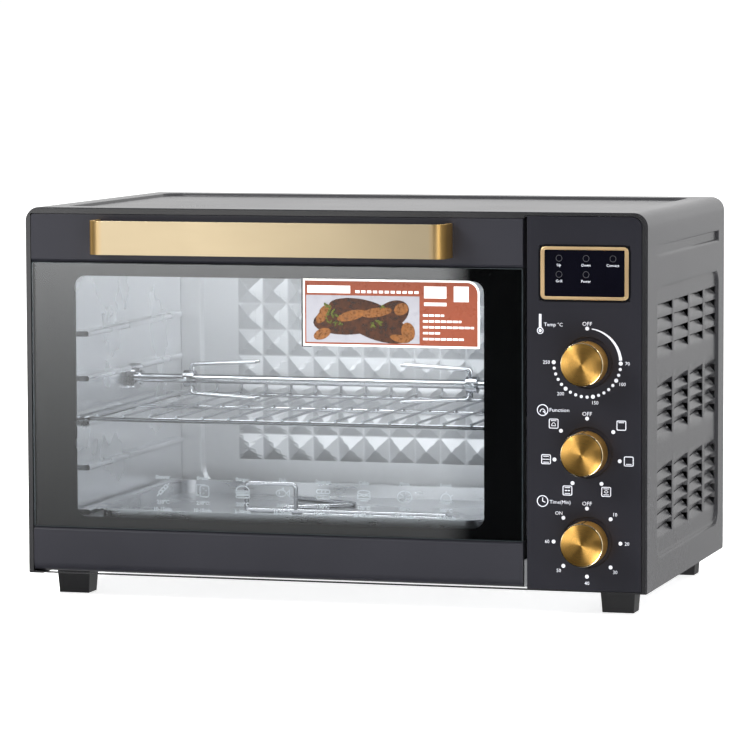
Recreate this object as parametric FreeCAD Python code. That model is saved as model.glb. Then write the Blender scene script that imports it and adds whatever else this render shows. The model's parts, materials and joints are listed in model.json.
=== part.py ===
import FreeCAD, Part
import math
import os
from FreeCAD import Vector

# A counter-top electric oven in millimetres. +X is the viewer's right, +Y runs from the door to the
# back, +Z is up. While modelling, y = 0 is the front edge of the casing; save() then shifts every
# piece so that the origin is the bottom centre of the whole oven.

# ---- driving dimensions ----------------------------------------------------------------------
CASE_WIDTH = 550.0
CASE_DEPTH = 323.0
CASE_TOP = 339.0
FOOT_HEIGHT = 21.0
CASE_CORNER = 11.0
COVER_SHEET = 0.8
HALF = CASE_WIDTH / 2

DOOR_LEFT = -270.3
DOOR_RIGHT = 169.2
DOOR_BOTTOM = 22.5
DOOR_TOP = 334.2
DOOR_THICK = 16.0
GLASS_BOTTOM = 61.8
GLASS_TOP = 292.3
GLASS_THICK = 4.0
HINGE_RADIUS = DOOR_THICK / 2
HINGE_Y = HINGE_RADIUS
HINGE_Z = DOOR_BOTTOM + HINGE_RADIUS
HINGE_PIN_RADIUS = 3.0

HANDLE_LEFT = -209.5
HANDLE_RIGHT = 108.4
HANDLE_BOTTOM = 300.7
HANDLE_TOP = 329.7
HANDLE_REACH = 26.2
HANDLE_THICK = 3.5
HANDLE_BEND = 10.5

PANEL_LEFT = 172.9
PANEL_RIGHT = 271.3
PANEL_BOTTOM = 22.3
PANEL_TOP = 336.6
PANEL_DEPTH = 15.0
PANEL_SHEET = 2.5
PANEL_CORNER = 9.0

KNOB_X = 224.8
KNOB_HEIGHTS = (214.3, 138.8, 63.0)
KNOB_RADIUS = 18.35
KNOB_REACH = 21.2
KNOB_GAP = 0.8
KNOB_RECESS_RADIUS = 21.5
KNOB_RECESS_DEPTH = 1.2
KNOB_CHAMFER = 0.8
KNOB_WALL = 3.0
SHAFT_END = -17.0
SHAFT_RADIUS = 3.0
RUNNING_GAP = 0.05

SCREW_RADIUS = 2.0
SCREW_HEAD_RADIUS = 3.6

CAVITY_LEFT = -236.0
CAVITY_RIGHT = 138.0
CAVITY_BACK = 303.0
CAVITY_FLOOR = 42.0
CAVITY_CEILING = 303.0
CAVITY_SHEET = 0.6
PLATE_FRONT = 18.0
PLATE_SHEET = 1.0
PLATE_BACK = PLATE_FRONT + PLATE_SHEET

RAIL_LEVELS = (73.9, 113.05, 152.2, 191.35, 230.5)
RAIL_REACH = 7.0
RAIL_HEIGHT = 5.0

SPIT_Y = 157.0
SPIT_Z = 179.5
SPIT_RADIUS = 4.0
HEATER_ROWS = (90.0, 235.0)
HEATER_RADIUS = 3.3
UPPER_HEATER_Z = 284.0
LOWER_HEATER_Z = 54.0
FAN_Y = 215.0
FAN_Z = 228.0
FAN_RADIUS = 38.0
LAMP_Y = 62.0
LAMP_Z = 262.0
LENS_RADIUS = 20.0
INSULATOR_RADIUS = 6.0
SEAT_GAP = 0.1

REAR_PROUD = 3.0
OVERALL_FRONT = -HANDLE_REACH
OVERALL_BACK = CASE_DEPTH + REAR_PROUD
ORIGIN_SHIFT = -(OVERALL_FRONT + OVERALL_BACK) / 2

X_AXIS = Vector(1, 0, 0)
Y_AXIS = Vector(0, 1, 0)
Z_AXIS = Vector(0, 0, 1)


# ---- shapes ----------------------------------------------------------------------------------
def block(x0, x1, y0, y1, z0, z1):
    return Part.makeBox(x1 - x0, y1 - y0, z1 - z0, Vector(x0, y0, z0))


def rod(radius, start, end):
    start = Vector(*start)
    along = Vector(*end) - start
    return Part.makeCylinder(radius, along.Length, start, along)


def joined(shapes):
    """One shape from several that touch or overlap."""
    shapes = list(shapes)
    if len(shapes) == 1:
        return shapes[0]
    return shapes[0].multiFuse(shapes[1:]).removeSplitter()


def rounded(shape, axis, radius, wanted=lambda point: True):
    """Round the straight edges that run along an axis, where wanted() says so of their middle."""
    edges = []
    for edge in shape.Edges:
        if not isinstance(edge.Curve, (Part.Line, Part.LineSegment)):
            continue
        if abs(abs(edge.tangentAt(edge.FirstParameter).dot(axis)) - 1) > 1e-6:
            continue
        if wanted(edge.CenterOfMass):
            edges.append(edge)
    return shape.makeFillet(radius, edges)


def round_block(x0, x1, y0, y1, z0, z1, axis, radius):
    return rounded(block(x0, x1, y0, y1, z0, z1), axis, radius)


def bent_path(points, bend):
    """A wire through the points, each corner turned into an arc of the bend radius."""
    points = [Vector(*point) for point in points]
    edges = []
    last = points[0]
    for before, corner, after in zip(points, points[1:], points[2:]):
        inward = (before - corner).normalize()
        outward = (after - corner).normalize()
        half_angle = inward.getAngle(outward) / 2
        trim = bend / math.tan(half_angle)
        arc_start = corner + inward * trim
        arc_end = corner + outward * trim
        bisector = (inward + outward).normalize()
        middle = corner + bisector * (bend / math.sin(half_angle) - bend)
        if (arc_start - last).Length > 1e-6:
            edges.append(Part.LineSegment(last, arc_start).toShape())
        edges.append(Part.Arc(arc_start, middle, arc_end).toShape())
        last = arc_end
    edges.append(Part.LineSegment(last, points[-1]).toShape())
    return Part.Wire(edges)


def bent_rod(points, bend, radius):
    path = bent_path(points, bend)
    first = Vector(*points[0])
    direction = Vector(*points[1]) - first
    ring = Part.Wire(Part.makeCircle(radius, first, direction))
    return path.makePipeShell([ring], True, True)


def save(name, shape):
    shape = shape.copy()
    shape.translate(Vector(0, ORIGIN_SHIFT, 0))
    shape.exportStep("parts/" + name + ".step")
    print(name, len(shape.Solids), "solids", "valid" if shape.isValid() else "NOT VALID")


# ---- casing ----------------------------------------------------------------------------------
COVER_FRONT = 3.0
COVER_BACK = CASE_DEPTH - COVER_SHEET
LIP_WIDTH = 12.0
LOUVRE_ROWS = [[260.9 - 12.05 * i for i in range(4)], [190.7 - 12.05 * i for i in range(4)],
               [118.4 - 12.05 * i for i in range(5)]]
LOUVRE_COLUMNS = ((43.0, 97.0), (106.0, 159.0), (166.0, 219.0), (226.0, 279.0))
LOUVRE_SLOT = 2.6


def case_outline(inset, y0, y1):
    """The casing's section, square at the bottom and round at the two top corners."""
    shape = block(-HALF + inset, HALF - inset, y0, y1, FOOT_HEIGHT + inset, CASE_TOP - inset)
    return rounded(shape, Y_AXIS, CASE_CORNER - inset, lambda point: point.z > CASE_TOP / 2)


def louvre_slots():
    slots = []
    for side in (-1, 1):
        for group in LOUVRE_ROWS:
            for z in group:
                for y0, y1 in LOUVRE_COLUMNS:
                    x = side * HALF
                    slots.append(block(x - 3, x + 3, y0 + 2, y1 - 2, z - LOUVRE_SLOT, z))
    return slots


def outer_cover():
    """One sheet bent over the top and both sides, with a lip turned in under each side."""
    shell = case_outline(0, COVER_FRONT, COVER_BACK)
    shell = shell.cut(case_outline(COVER_SHEET, COVER_FRONT - 1, COVER_BACK + 1))
    middle = HALF - LIP_WIDTH
    shell = shell.cut(block(-middle, middle, 0, CASE_DEPTH, 0, FOOT_HEIGHT + 2))
    return shell.cut(Part.makeCompound(louvre_slots()))


INLET_X = 210.0
INLET_Z = 60.0
INLET_RADIUS = 6.5
CORD_BORE = 3.6
BUSH_FLANGE_RADIUS = 10.0
BUSH_NECK = 7.0
REAR_SCREWS = [(x, z) for x in (-262.0, 262.0) for z in (36.0, 180.0, 322.0)] + [(0.0, 330.0)]
VENT_COLUMNS = (-190.0, -110.0, -30.0, 50.0, 170.0)
VENT_ROWS = 9
VENT_TOP = 250.0
VENT_PITCH = 12.0
VENT_LENGTH = 60.0
VENT_HEIGHT = 3.0


def rear_cover():
    plate = case_outline(COVER_SHEET, COVER_BACK, CASE_DEPTH)
    inlet_ends = (INLET_X, COVER_BACK - 1, INLET_Z), (INLET_X, CASE_DEPTH + 1, INLET_Z)
    cuts = [rod(INLET_RADIUS + SEAT_GAP, *inlet_ends)]
    for row in range(VENT_ROWS):
        z = VENT_TOP - VENT_PITCH * row
        for x in VENT_COLUMNS:
            cuts.append(block(x, x + VENT_LENGTH, COVER_BACK - 1, CASE_DEPTH + 1, z, z + VENT_HEIGHT))
    for x, z in REAR_SCREWS:
        cuts.append(rod(SCREW_RADIUS, (x, COVER_BACK - 1, z), (x, CASE_DEPTH + 1, z)))
    return plate.cut(Part.makeCompound(cuts))


def rear_screws():
    """Cross-head screws that hold the rear cover."""
    screws = []
    slot_length = 2.4
    slot_width = 0.4
    slot_bottom = CASE_DEPTH + 1.4
    for x, z in REAR_SCREWS:
        head = rod(SCREW_HEAD_RADIUS, (x, CASE_DEPTH, z), (x, CASE_DEPTH + 2.2, z))
        stem = rod(SCREW_RADIUS, (x, CASE_DEPTH - 9, z), (x, CASE_DEPTH, z))
        recess = [block(x - across, x + across, slot_bottom, CASE_DEPTH + 3, z - upward, z + upward)
                  for across, upward in ((slot_length, slot_width), (slot_width, slot_length))]
        screws.append(head.fuse(stem).cut(Part.makeCompound(recess)))
    return screws


def cord_inlet_bush():
    """A flanged plastic bush in the rear cover that a mains lead would pass through."""
    inner_end = COVER_BACK - BUSH_NECK
    outer_end = CASE_DEPTH + REAR_PROUD
    flange = rod(BUSH_FLANGE_RADIUS, (INLET_X, CASE_DEPTH, INLET_Z), (INLET_X, outer_end, INLET_Z))
    neck = rod(INLET_RADIUS, (INLET_X, inner_end, INLET_Z), (INLET_X, CASE_DEPTH, INLET_Z))
    bore = rod(CORD_BORE, (INLET_X, inner_end - 1, INLET_Z), (INLET_X, outer_end + 1, INLET_Z))
    return flange.fuse(neck).cut(bore)


BASE_BOTTOM = FOOT_HEIGHT + COVER_SHEET
FOOT_LENGTH = 23.0
FOOT_FRONTS = {"front": 28.9, "back": 277.6}
FOOT_OUTER = 259.8
FOOT_WIDTH = 30.4
FOOT_TAPER = 1.6
FOOT_POCKET_RADIUS = 4.2
FOOT_POCKET_DEPTH = 14.0
FOOT_SCREW_RADIUS = 1.9


def base_plate():
    inner = HALF - COVER_SHEET
    plate = block(-inner, inner, PLATE_BACK + 0.2, COVER_BACK, BASE_BOTTOM, BASE_BOTTOM + 1)
    slots = []
    for row in range(6):
        y = 80.0 + 30.0 * row
        for x in (-150.0, -50.0, 50.0):
            slots.append(block(x, x + 70, y, y + 5, BASE_BOTTOM - 1, BASE_BOTTOM + 2))
    for x, y in foot_centres().values():
        slots.append(rod(SCREW_RADIUS, (x, y, BASE_BOTTOM - 1), (x, y, BASE_BOTTOM + 2)))
    return plate.cut(Part.makeCompound(slots))


def foot_centres():
    centres = {}
    for side, sign in (("left", -1), ("right", 1)):
        for end, front in FOOT_FRONTS.items():
            x = sign * (FOOT_OUTER - FOOT_WIDTH / 2)
            centres[end + "_" + side + "_foot"] = (x, front + FOOT_LENGTH / 2)
    return centres


def foot(x, y):
    """A moulded block that narrows a little towards the floor, hollow for its screw."""
    sections = []
    for z, inset in ((0.0, FOOT_TAPER), (BASE_BOTTOM, 0.0)):
        half_x = FOOT_WIDTH / 2 - inset
        half_y = FOOT_LENGTH / 2 - inset
        corners = [Vector(x + sx * half_x, y + sy * half_y, z)
                   for sx, sy in ((-1, -1), (1, -1), (1, 1), (-1, 1), (-1, -1))]
        sections.append(Part.makePolygon(corners))
    body = Part.makeLoft(sections, True, True)
    pocket = rod(FOOT_POCKET_RADIUS, (x, y, -1), (x, y, FOOT_POCKET_DEPTH))
    hole = rod(FOOT_SCREW_RADIUS, (x, y, FOOT_POCKET_DEPTH - 1), (x, y, BASE_BOTTOM + 1))
    return body.cut(pocket).cut(hole)


def foot_screws():
    screws = []
    for x, y in foot_centres().values():
        head = rod(SCREW_HEAD_RADIUS, (x, y, FOOT_POCKET_DEPTH - 2.4), (x, y, FOOT_POCKET_DEPTH))
        stem = rod(FOOT_SCREW_RADIUS, (x, y, FOOT_POCKET_DEPTH), (x, y, BASE_BOTTOM + 4))
        screws.append(head.fuse(stem))
    return screws


RIM_DEPTH = 3.0
RIM_WALL = 1.2


def front_rim():
    """The black edge round door and panel: a flat front ring with a thin wall behind it."""
    ring = case_outline(0, 0, RIM_DEPTH)
    door = block(DOOR_LEFT - 0.5, PANEL_LEFT - 1.2, -1, RIM_DEPTH + 1, DOOR_BOTTOM - 0.4, DOOR_TOP + 0.4)
    panel = block(PANEL_LEFT - 2, PANEL_RIGHT + 0.4, -1, RIM_DEPTH + 1, PANEL_BOTTOM - 0.3, PANEL_TOP + 0.4)
    panel = rounded(panel, Y_AXIS, PANEL_CORNER, lambda point: point.x > 200 and point.z > 200)
    ring = ring.cut(door).cut(panel)
    inset = COVER_SHEET
    wall = case_outline(inset, RIM_DEPTH, PLATE_FRONT)
    wall = wall.cut(case_outline(inset + RIM_WALL, 0, PLATE_FRONT + 1))
    wall = wall.cut(block(-HALF, HALF, 0, PLATE_FRONT + 1, 0, BASE_BOTTOM + 1.4))
    return ring.fuse(wall)


def front_plate():
    """Bright steel plate that the cavity opens through, behind the closed door."""
    inset = COVER_SHEET + RIM_WALL + 0.1
    plate = case_outline(inset, PLATE_FRONT, PLATE_BACK)
    plate = plate.cut(block(PANEL_LEFT - 0.6, HALF, 0, PLATE_BACK + 1, 0, CASE_TOP))
    plate = plate.cut(block(-HALF, HALF, 0, PLATE_BACK + 1, 0, BASE_BOTTOM + 1.2))
    mouth = block(CAVITY_LEFT, CAVITY_RIGHT, 0, PLATE_BACK + 1, CAVITY_FLOOR, CAVITY_CEILING)
    return plate.cut(rounded(mouth, Y_AXIS, 6.0))


# ---- cavity ----------------------------------------------------------------------------------
BACK_COLUMN_START = -180.9
BACK_ROW_START = 91.4
BACK_PITCH = 24.45
BACK_COLUMNS = 11
BACK_ROWS = 7
PYRAMID_HEIGHT = 6.0
SPIT_HOLE_RADIUS = 9.3
FAN_HOLE_RADIUS = 2.6
FAN_HOLE_RINGS = 4
FAN_HOLE_PITCH = 8.0


def side_rails(wall_x, direction):
    """Pressed ribs that carry the rack and the tray, one for each level, broken where the spit goes."""
    rails = []
    gap = block(wall_x - 10, wall_x + 10, SPIT_Y - 15, SPIT_Y + 15, SPIT_Z - 13, SPIT_Z + 13)
    for top in RAIL_LEVELS:
        tip = wall_x + direction * RAIL_REACH
        low, high = sorted((wall_x, tip))
        rail = block(low, high, 30, 285, top - RAIL_HEIGHT, top)
        rails.append(rounded(rail, Y_AXIS, 1.8, lambda point: abs(point.x - tip) < 0.1).cut(gap))
    return rails


def heater_places():
    return [(y, z) for z in (UPPER_HEATER_Z, LOWER_HEATER_Z) for y in HEATER_ROWS]


def heater_holes(x0, x1):
    return [rod(INSULATOR_RADIUS + SEAT_GAP, (x0, y, z), (x1, y, z)) for y, z in heater_places()]


def cavity_side_sheet(x0, x1):
    return block(x0, x1, PLATE_BACK, CAVITY_BACK, CAVITY_FLOOR, CAVITY_CEILING)


def cavity_left_wall():
    wall = cavity_side_sheet(CAVITY_LEFT - CAVITY_SHEET, CAVITY_LEFT)
    wall = joined([wall] + side_rails(CAVITY_LEFT, 1))
    return wall.cut(Part.makeCompound(heater_holes(CAVITY_LEFT - 2, CAVITY_LEFT + 1)))


def fan_holes():
    holes = []
    for ring in range(FAN_HOLE_RINGS + 1):
        ring_radius = FAN_HOLE_PITCH * ring
        count = max(1, 6 * ring)
        for i in range(count):
            angle = 2 * math.pi * i / count
            y = FAN_Y + ring_radius * math.cos(angle)
            z = FAN_Z + ring_radius * math.sin(angle)
            holes.append(rod(FAN_HOLE_RADIUS, (CAVITY_RIGHT - 9, y, z), (CAVITY_RIGHT + 2, y, z)))
    return holes


def cavity_right_wall():
    wall = cavity_side_sheet(CAVITY_RIGHT, CAVITY_RIGHT + CAVITY_SHEET)
    wall = joined([wall] + side_rails(CAVITY_RIGHT, -1))
    fan_area = block(CAVITY_RIGHT - 8, CAVITY_RIGHT, FAN_Y - 40, FAN_Y + 40, FAN_Z - 40, FAN_Z + 40)
    wall = wall.cut(fan_area)
    cuts = heater_holes(CAVITY_RIGHT - 1, CAVITY_RIGHT + 2) + fan_holes()
    cuts.append(rod(SPIT_HOLE_RADIUS, (CAVITY_RIGHT - 1, SPIT_Y, SPIT_Z), (CAVITY_RIGHT + 2, SPIT_Y, SPIT_Z)))
    lens_ends = (CAVITY_RIGHT - 1, LAMP_Y, LAMP_Z), (CAVITY_RIGHT + 2, LAMP_Y, LAMP_Z)
    cuts.append(rod(LENS_RADIUS + SEAT_GAP, *lens_ends))
    return wall.cut(Part.makeCompound(cuts))


def cavity_ceiling():
    return block(CAVITY_LEFT - CAVITY_SHEET, CAVITY_RIGHT + CAVITY_SHEET, PLATE_BACK,
                 CAVITY_BACK + CAVITY_SHEET, CAVITY_CEILING, CAVITY_CEILING + CAVITY_SHEET)


def cavity_floor():
    return block(CAVITY_LEFT - CAVITY_SHEET, CAVITY_RIGHT + CAVITY_SHEET, PLATE_BACK,
                 CAVITY_BACK + CAVITY_SHEET, CAVITY_FLOOR - CAVITY_SHEET, CAVITY_FLOOR)


def pyramid(x, z, size, base_y):
    """A four-sided boss that points into the cavity."""
    half = size / 2
    signs = ((-1, -1), (1, -1), (1, 1), (-1, 1))
    corners = [Vector(x + sx * half, base_y, z + sz * half) for sx, sz in signs]
    tip = Vector(x, base_y - PYRAMID_HEIGHT, z)
    faces = [Part.Face(Part.makePolygon(corners + corners[:1]))]
    for first, second in zip(corners, corners[1:] + corners[:1]):
        faces.append(Part.Face(Part.makePolygon([first, second, tip, first])))
    return Part.makeSolid(Part.makeShell(faces))


def cavity_back_wall():
    """Back sheet with a grid of pressed pyramids that scatter the heat and the light."""
    base_y = CAVITY_BACK
    sheet = block(CAVITY_LEFT - CAVITY_SHEET, CAVITY_RIGHT + CAVITY_SHEET, base_y, base_y + CAVITY_SHEET,
                  CAVITY_FLOOR, CAVITY_CEILING)
    bosses = []
    for column in range(BACK_COLUMNS):
        for row in range(BACK_ROWS):
            x = BACK_COLUMN_START + BACK_PITCH * (column + 0.5)
            z = BACK_ROW_START + BACK_PITCH * (row + 0.5)
            bosses.append(pyramid(x, z, BACK_PITCH - 1.2, base_y + 0.01))
    return sheet.multiFuse(bosses)


def heating_elements(height):
    """Straight sheathed rods that run across the cavity, with a terminal pin at each end."""
    rods = []
    for y in HEATER_ROWS:
        sheath = rod(HEATER_RADIUS, (CAVITY_LEFT - 14, y, height), (CAVITY_RIGHT + 14, y, height))
        pin = rod(1.5, (CAVITY_LEFT - 24, y, height), (CAVITY_RIGHT + 24, y, height))
        rods.append(sheath.fuse(pin))
    return Part.makeCompound(rods)


def heater_insulators():
    """Ceramic bushes that hold the rods in the walls."""
    bushes = []
    for x_wall, outward in ((CAVITY_LEFT, -1), (CAVITY_RIGHT, 1)):
        for y, z in heater_places():
            inner = x_wall - outward * 2.5
            middle = x_wall + outward * CAVITY_SHEET
            outer = x_wall + outward * 11
            body = rod(INSULATOR_RADIUS, (inner, y, z), (outer, y, z))
            flange = rod(8.5, (middle, y, z), (x_wall + outward * 4, y, z))
            bore = rod(HEATER_RADIUS, (inner - 15 * outward, y, z), (outer + 15 * outward, y, z))
            bushes.append(body.fuse(flange).cut(bore))
    return Part.makeCompound(bushes)


def lamp_lens():
    outside = CAVITY_RIGHT + CAVITY_SHEET
    disc = rod(LENS_RADIUS, (CAVITY_RIGHT - 1.5, LAMP_Y, LAMP_Z), (outside, LAMP_Y, LAMP_Z))
    flange = rod(LENS_RADIUS + 3, (outside, LAMP_Y, LAMP_Z), (CAVITY_RIGHT + 3, LAMP_Y, LAMP_Z))
    return disc.fuse(flange)


def oven_lamp():
    """Small bulb and its holder, behind the lens."""
    x = CAVITY_RIGHT
    bulb = rod(9.0, (x + 5, LAMP_Y, LAMP_Z), (x + 30, LAMP_Y, LAMP_Z))
    bulb = bulb.makeFillet(8.0, [edge for edge in bulb.Edges if abs(edge.CenterOfMass.x - x - 5) < 0.1])
    holder = rod(12.0, (x + 30, LAMP_Y, LAMP_Z), (x + 44, LAMP_Y, LAMP_Z))
    return joined([bulb, holder])


FAN_FRONT = CAVITY_RIGHT + 6.0
FAN_BACK = FAN_FRONT + 12.0


def fan_blade():
    """Stamped disc with turned-up vanes on a short shaft."""
    back = rod(FAN_RADIUS, (FAN_BACK - 1, FAN_Y, FAN_Z), (FAN_BACK, FAN_Y, FAN_Z))
    hub = rod(6.0, (FAN_BACK - 8, FAN_Y, FAN_Z), (FAN_BACK, FAN_Y, FAN_Z))
    shaft = rod(SHAFT_RADIUS, (FAN_BACK, FAN_Y, FAN_Z), (FAN_BACK + 16, FAN_Y, FAN_Z))
    vanes = []
    for i in range(8):
        vane = block(FAN_FRONT, FAN_BACK - 0.5, FAN_Y - 0.5, FAN_Y + 0.5, FAN_Z + 10, FAN_Z + FAN_RADIUS - 1)
        vane.rotate(Vector(0, FAN_Y, FAN_Z), X_AXIS, 45.0 * i)
        vanes.append(vane)
    return joined([back, hub, shaft] + vanes)


def fan_housing():
    """Shallow steel pan round the fan, fixed to the outside of the cavity wall."""
    x0 = CAVITY_RIGHT + CAVITY_SHEET
    outer = rod(FAN_RADIUS + 5, (x0, FAN_Y, FAN_Z), (FAN_BACK + 4, FAN_Y, FAN_Z))
    hollow = rod(FAN_RADIUS + 4, (x0 - 1, FAN_Y, FAN_Z), (FAN_BACK + 3, FAN_Y, FAN_Z))
    hole = rod(8.0, (FAN_BACK, FAN_Y, FAN_Z), (FAN_BACK + 6, FAN_Y, FAN_Z))
    return outer.cut(hollow).cut(hole)


def fan_motor():
    x0 = FAN_BACK + 4
    body = round_block(x0, x0 + 36, FAN_Y - 26, FAN_Y + 26, FAN_Z - 26, FAN_Z + 26, X_AXIS, 5.0)
    coil = rod(18.0, (x0 + 36, FAN_Y, FAN_Z), (x0 + 44, FAN_Y, FAN_Z))
    bore = rod(SHAFT_RADIUS + RUNNING_GAP, (x0 - 1, FAN_Y, FAN_Z), (FAN_BACK + 17, FAN_Y, FAN_Z))
    return body.fuse(coil).cut(bore)


# ---- rotisserie ------------------------------------------------------------------------------
SOCKET_START = 127.0
SOCKET_RADIUS = 8.5
MOTOR_START = CAVITY_RIGHT + 14.0
FORK_HUBS = ((-179.0, 1), (84.0, -1))
TINE_LENGTH = 62.0
TINE_RADIUS = 1.5


def spit_rod():
    """Straight rod with a groove near its free end and a pointed drive end in the socket."""
    free_end = CAVITY_LEFT + 1.0
    body = rod(SPIT_RADIUS, (free_end, SPIT_Y, SPIT_Z), (SOCKET_START + 8, SPIT_Y, SPIT_Z))
    ring = rod(SPIT_RADIUS + 2.5, (free_end + 9, SPIT_Y, SPIT_Z), (free_end + 11, SPIT_Y, SPIT_Z))
    return body.fuse(ring)


def drive_socket():
    """Turning sleeve that takes the drive end of the spit and goes into the motor."""
    sleeve = rod(SOCKET_RADIUS, (SOCKET_START, SPIT_Y, SPIT_Z), (MOTOR_START - 1, SPIT_Y, SPIT_Z))
    pocket = rod(SPIT_RADIUS, (SOCKET_START - 1, SPIT_Y, SPIT_Z), (SOCKET_START + 8, SPIT_Y, SPIT_Z))
    shaft = rod(SHAFT_RADIUS, (MOTOR_START - 1, SPIT_Y, SPIT_Z), (MOTOR_START + 10, SPIT_Y, SPIT_Z))
    return sleeve.cut(pocket).fuse(shaft)


def spit_forks():
    """Two hubs, each with four bent tines that point at the other hub."""
    forks = []
    for hub_x, inward in FORK_HUBS:
        hub = rod(7.5, (hub_x - 5, SPIT_Y, SPIT_Z), (hub_x + 5, SPIT_Y, SPIT_Z))
        pieces = [hub]
        for turn in (20.0, 160.0, 200.0, 340.0):
            angle = math.radians(turn)
            across = math.sin(angle)
            upward = math.cos(angle)

            def at(x, radius):
                return (x, SPIT_Y + radius * across, SPIT_Z + radius * upward)

            root_x = hub_x + inward * 2
            points = [at(root_x, 5.0), at(root_x, 14.0), at(root_x + inward * TINE_LENGTH, 17.4)]
            pieces.append(bent_rod(points, 4.0, TINE_RADIUS))
        fork = joined(pieces)
        bore = rod(SPIT_RADIUS, (hub_x - 9, SPIT_Y, SPIT_Z), (hub_x + 9, SPIT_Y, SPIT_Z))
        forks.append(fork.cut(bore))
    return Part.makeCompound(forks)


def fork_screws():
    """Thumbscrews that lock each fork hub on the rod."""
    screws = []
    for hub_x, inward in FORK_HUBS:
        x = hub_x - inward * 2
        stem = rod(1.8, (x, SPIT_Y - 7.5, SPIT_Z), (x, SPIT_Y - 14, SPIT_Z))
        wing = round_block(x - 6.5, x + 6.5, SPIT_Y - 18.5, SPIT_Y - 13, SPIT_Z - 1, SPIT_Z + 1, Z_AXIS, 2.0)
        screws.append(stem.fuse(wing))
    return Part.makeCompound(screws)


def spit_bearing():
    """Open cradle on the left wall that the free end of the spit lies in."""
    x0 = CAVITY_LEFT
    x1 = CAVITY_LEFT + 7
    body = round_block(x0, x1, SPIT_Y - 9, SPIT_Y + 9, SPIT_Z - 10, SPIT_Z + 8, X_AXIS, 3.0)
    reach = SPIT_RADIUS + RUNNING_GAP
    seat = rod(reach, (x0 - 1, SPIT_Y, SPIT_Z), (x1 + 1, SPIT_Y, SPIT_Z))
    mouth = block(x0 - 1, x1 + 1, SPIT_Y - reach, SPIT_Y + reach, SPIT_Z, SPIT_Z + 20)
    return body.cut(seat).cut(mouth)


def rotisserie_motor():
    x0 = MOTOR_START
    body = rod(24.0, (x0, SPIT_Y, SPIT_Z), (x0 + 16, SPIT_Y, SPIT_Z))
    gearbox = round_block(x0 + 16, x0 + 28, SPIT_Y - 18, SPIT_Y + 18, SPIT_Z - 18, SPIT_Z + 18, X_AXIS, 4.0)
    bore = rod(SHAFT_RADIUS + RUNNING_GAP, (x0 - 1, SPIT_Y, SPIT_Z), (x0 + 11, SPIT_Y, SPIT_Z))
    return body.fuse(gearbox).cut(bore)


# ---- rack, trays and tools -------------------------------------------------------------------
RACK_BAR_Z = 154.35
RACK_BAR_RADIUS = 2.1
RACK_WIRE_RADIUS = 1.2
RACK_FRONT = 26.0
RACK_MIDDLE = 155.0
RACK_BACK = 283.0
RACK_FENCE = 12.5
RACK_LEFT = CAVITY_LEFT + 3.6
RACK_RIGHT = CAVITY_RIGHT - 3.6
RACK_FIRST_WIRE = -219.5
RACK_PITCH = 24.1
RACK_WIRES = 15


RACK_WIRE_Z = RACK_BAR_Z + RACK_BAR_RADIUS + RACK_WIRE_RADIUS - 0.4
FENCE_BEND = 2.0
FENCE_START = RACK_BACK - FENCE_BEND - 0.1


def rack_wire_places():
    return [RACK_FIRST_WIRE + RACK_PITCH * i for i in range(RACK_WIRES)]


def wire_rack():
    """Bar frame with cross wires laid on it."""
    z = RACK_BAR_Z
    rim = [(RACK_LEFT, RACK_BACK, z), (RACK_LEFT, RACK_FRONT, z), (RACK_RIGHT, RACK_FRONT, z),
           (RACK_RIGHT, RACK_BACK, z)]
    bars = [bent_rod(rim, 6.0, RACK_BAR_RADIUS)]
    for y in (RACK_MIDDLE, RACK_BACK - 3):
        bars.append(rod(RACK_BAR_RADIUS - 0.2, (RACK_LEFT, y, z), (RACK_RIGHT, y, z)))
    for x in rack_wire_places():
        bars.append(rod(RACK_WIRE_RADIUS, (x, RACK_FRONT - 2, RACK_WIRE_Z), (x, FENCE_START, RACK_WIRE_Z)))
    return joined(bars)


def rack_fence():
    """The turned-up ends of the rack's wires, tied by a bar, which keep dishes off the back wall."""
    fence_z = RACK_BAR_Z + RACK_FENCE
    places = rack_wire_places()
    bars = [rod(1.6, (places[0] - 4, RACK_BACK, fence_z), (places[-1] + 4, RACK_BACK, fence_z))]
    for x in places:
        route = [(x, FENCE_START, RACK_WIRE_Z), (x, RACK_BACK, RACK_WIRE_Z), (x, RACK_BACK, fence_z)]
        bars.append(bent_rod(route, FENCE_BEND, RACK_WIRE_RADIUS))
    return joined(bars)


TRAY_LEFT = CAVITY_LEFT + 14.0
TRAY_RIGHT = CAVITY_RIGHT - 14.0
TRAY_FRONT = 34.0
TRAY_BACK = 266.0
TRAY_BOTTOM = 62.7
TRAY_RIM = 75.0
TRAY_SHEET = 0.8
TRAY_FLANGE = 6.0


def pan(x0, x1, y0, y1, z0, z1, corner, sheet):
    """Open-topped tray with round corners."""
    outer = round_block(x0, x1, y0, y1, z0, z1, Z_AXIS, corner)
    inner = round_block(x0 + sheet, x1 - sheet, y0 + sheet, y1 - sheet, z0 + sheet, z1 + 1,
                        Z_AXIS, corner - sheet)
    return outer.cut(inner)


def baking_tray():
    body = pan(TRAY_LEFT, TRAY_RIGHT, TRAY_FRONT, TRAY_BACK, TRAY_BOTTOM, TRAY_RIM, 14.0, TRAY_SHEET)
    rim = round_block(TRAY_LEFT - TRAY_FLANGE, TRAY_RIGHT + TRAY_FLANGE, TRAY_FRONT - TRAY_FLANGE,
                      TRAY_BACK + TRAY_FLANGE, TRAY_RIM - TRAY_SHEET, TRAY_RIM, Z_AXIS, 18.0)
    hole = round_block(TRAY_LEFT + TRAY_SHEET, TRAY_RIGHT - TRAY_SHEET, TRAY_FRONT + TRAY_SHEET,
                       TRAY_BACK - TRAY_SHEET, TRAY_RIM - 3, TRAY_RIM + 1, Z_AXIS, 13.2)
    return body.fuse(rim.cut(hole)).removeSplitter()


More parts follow.
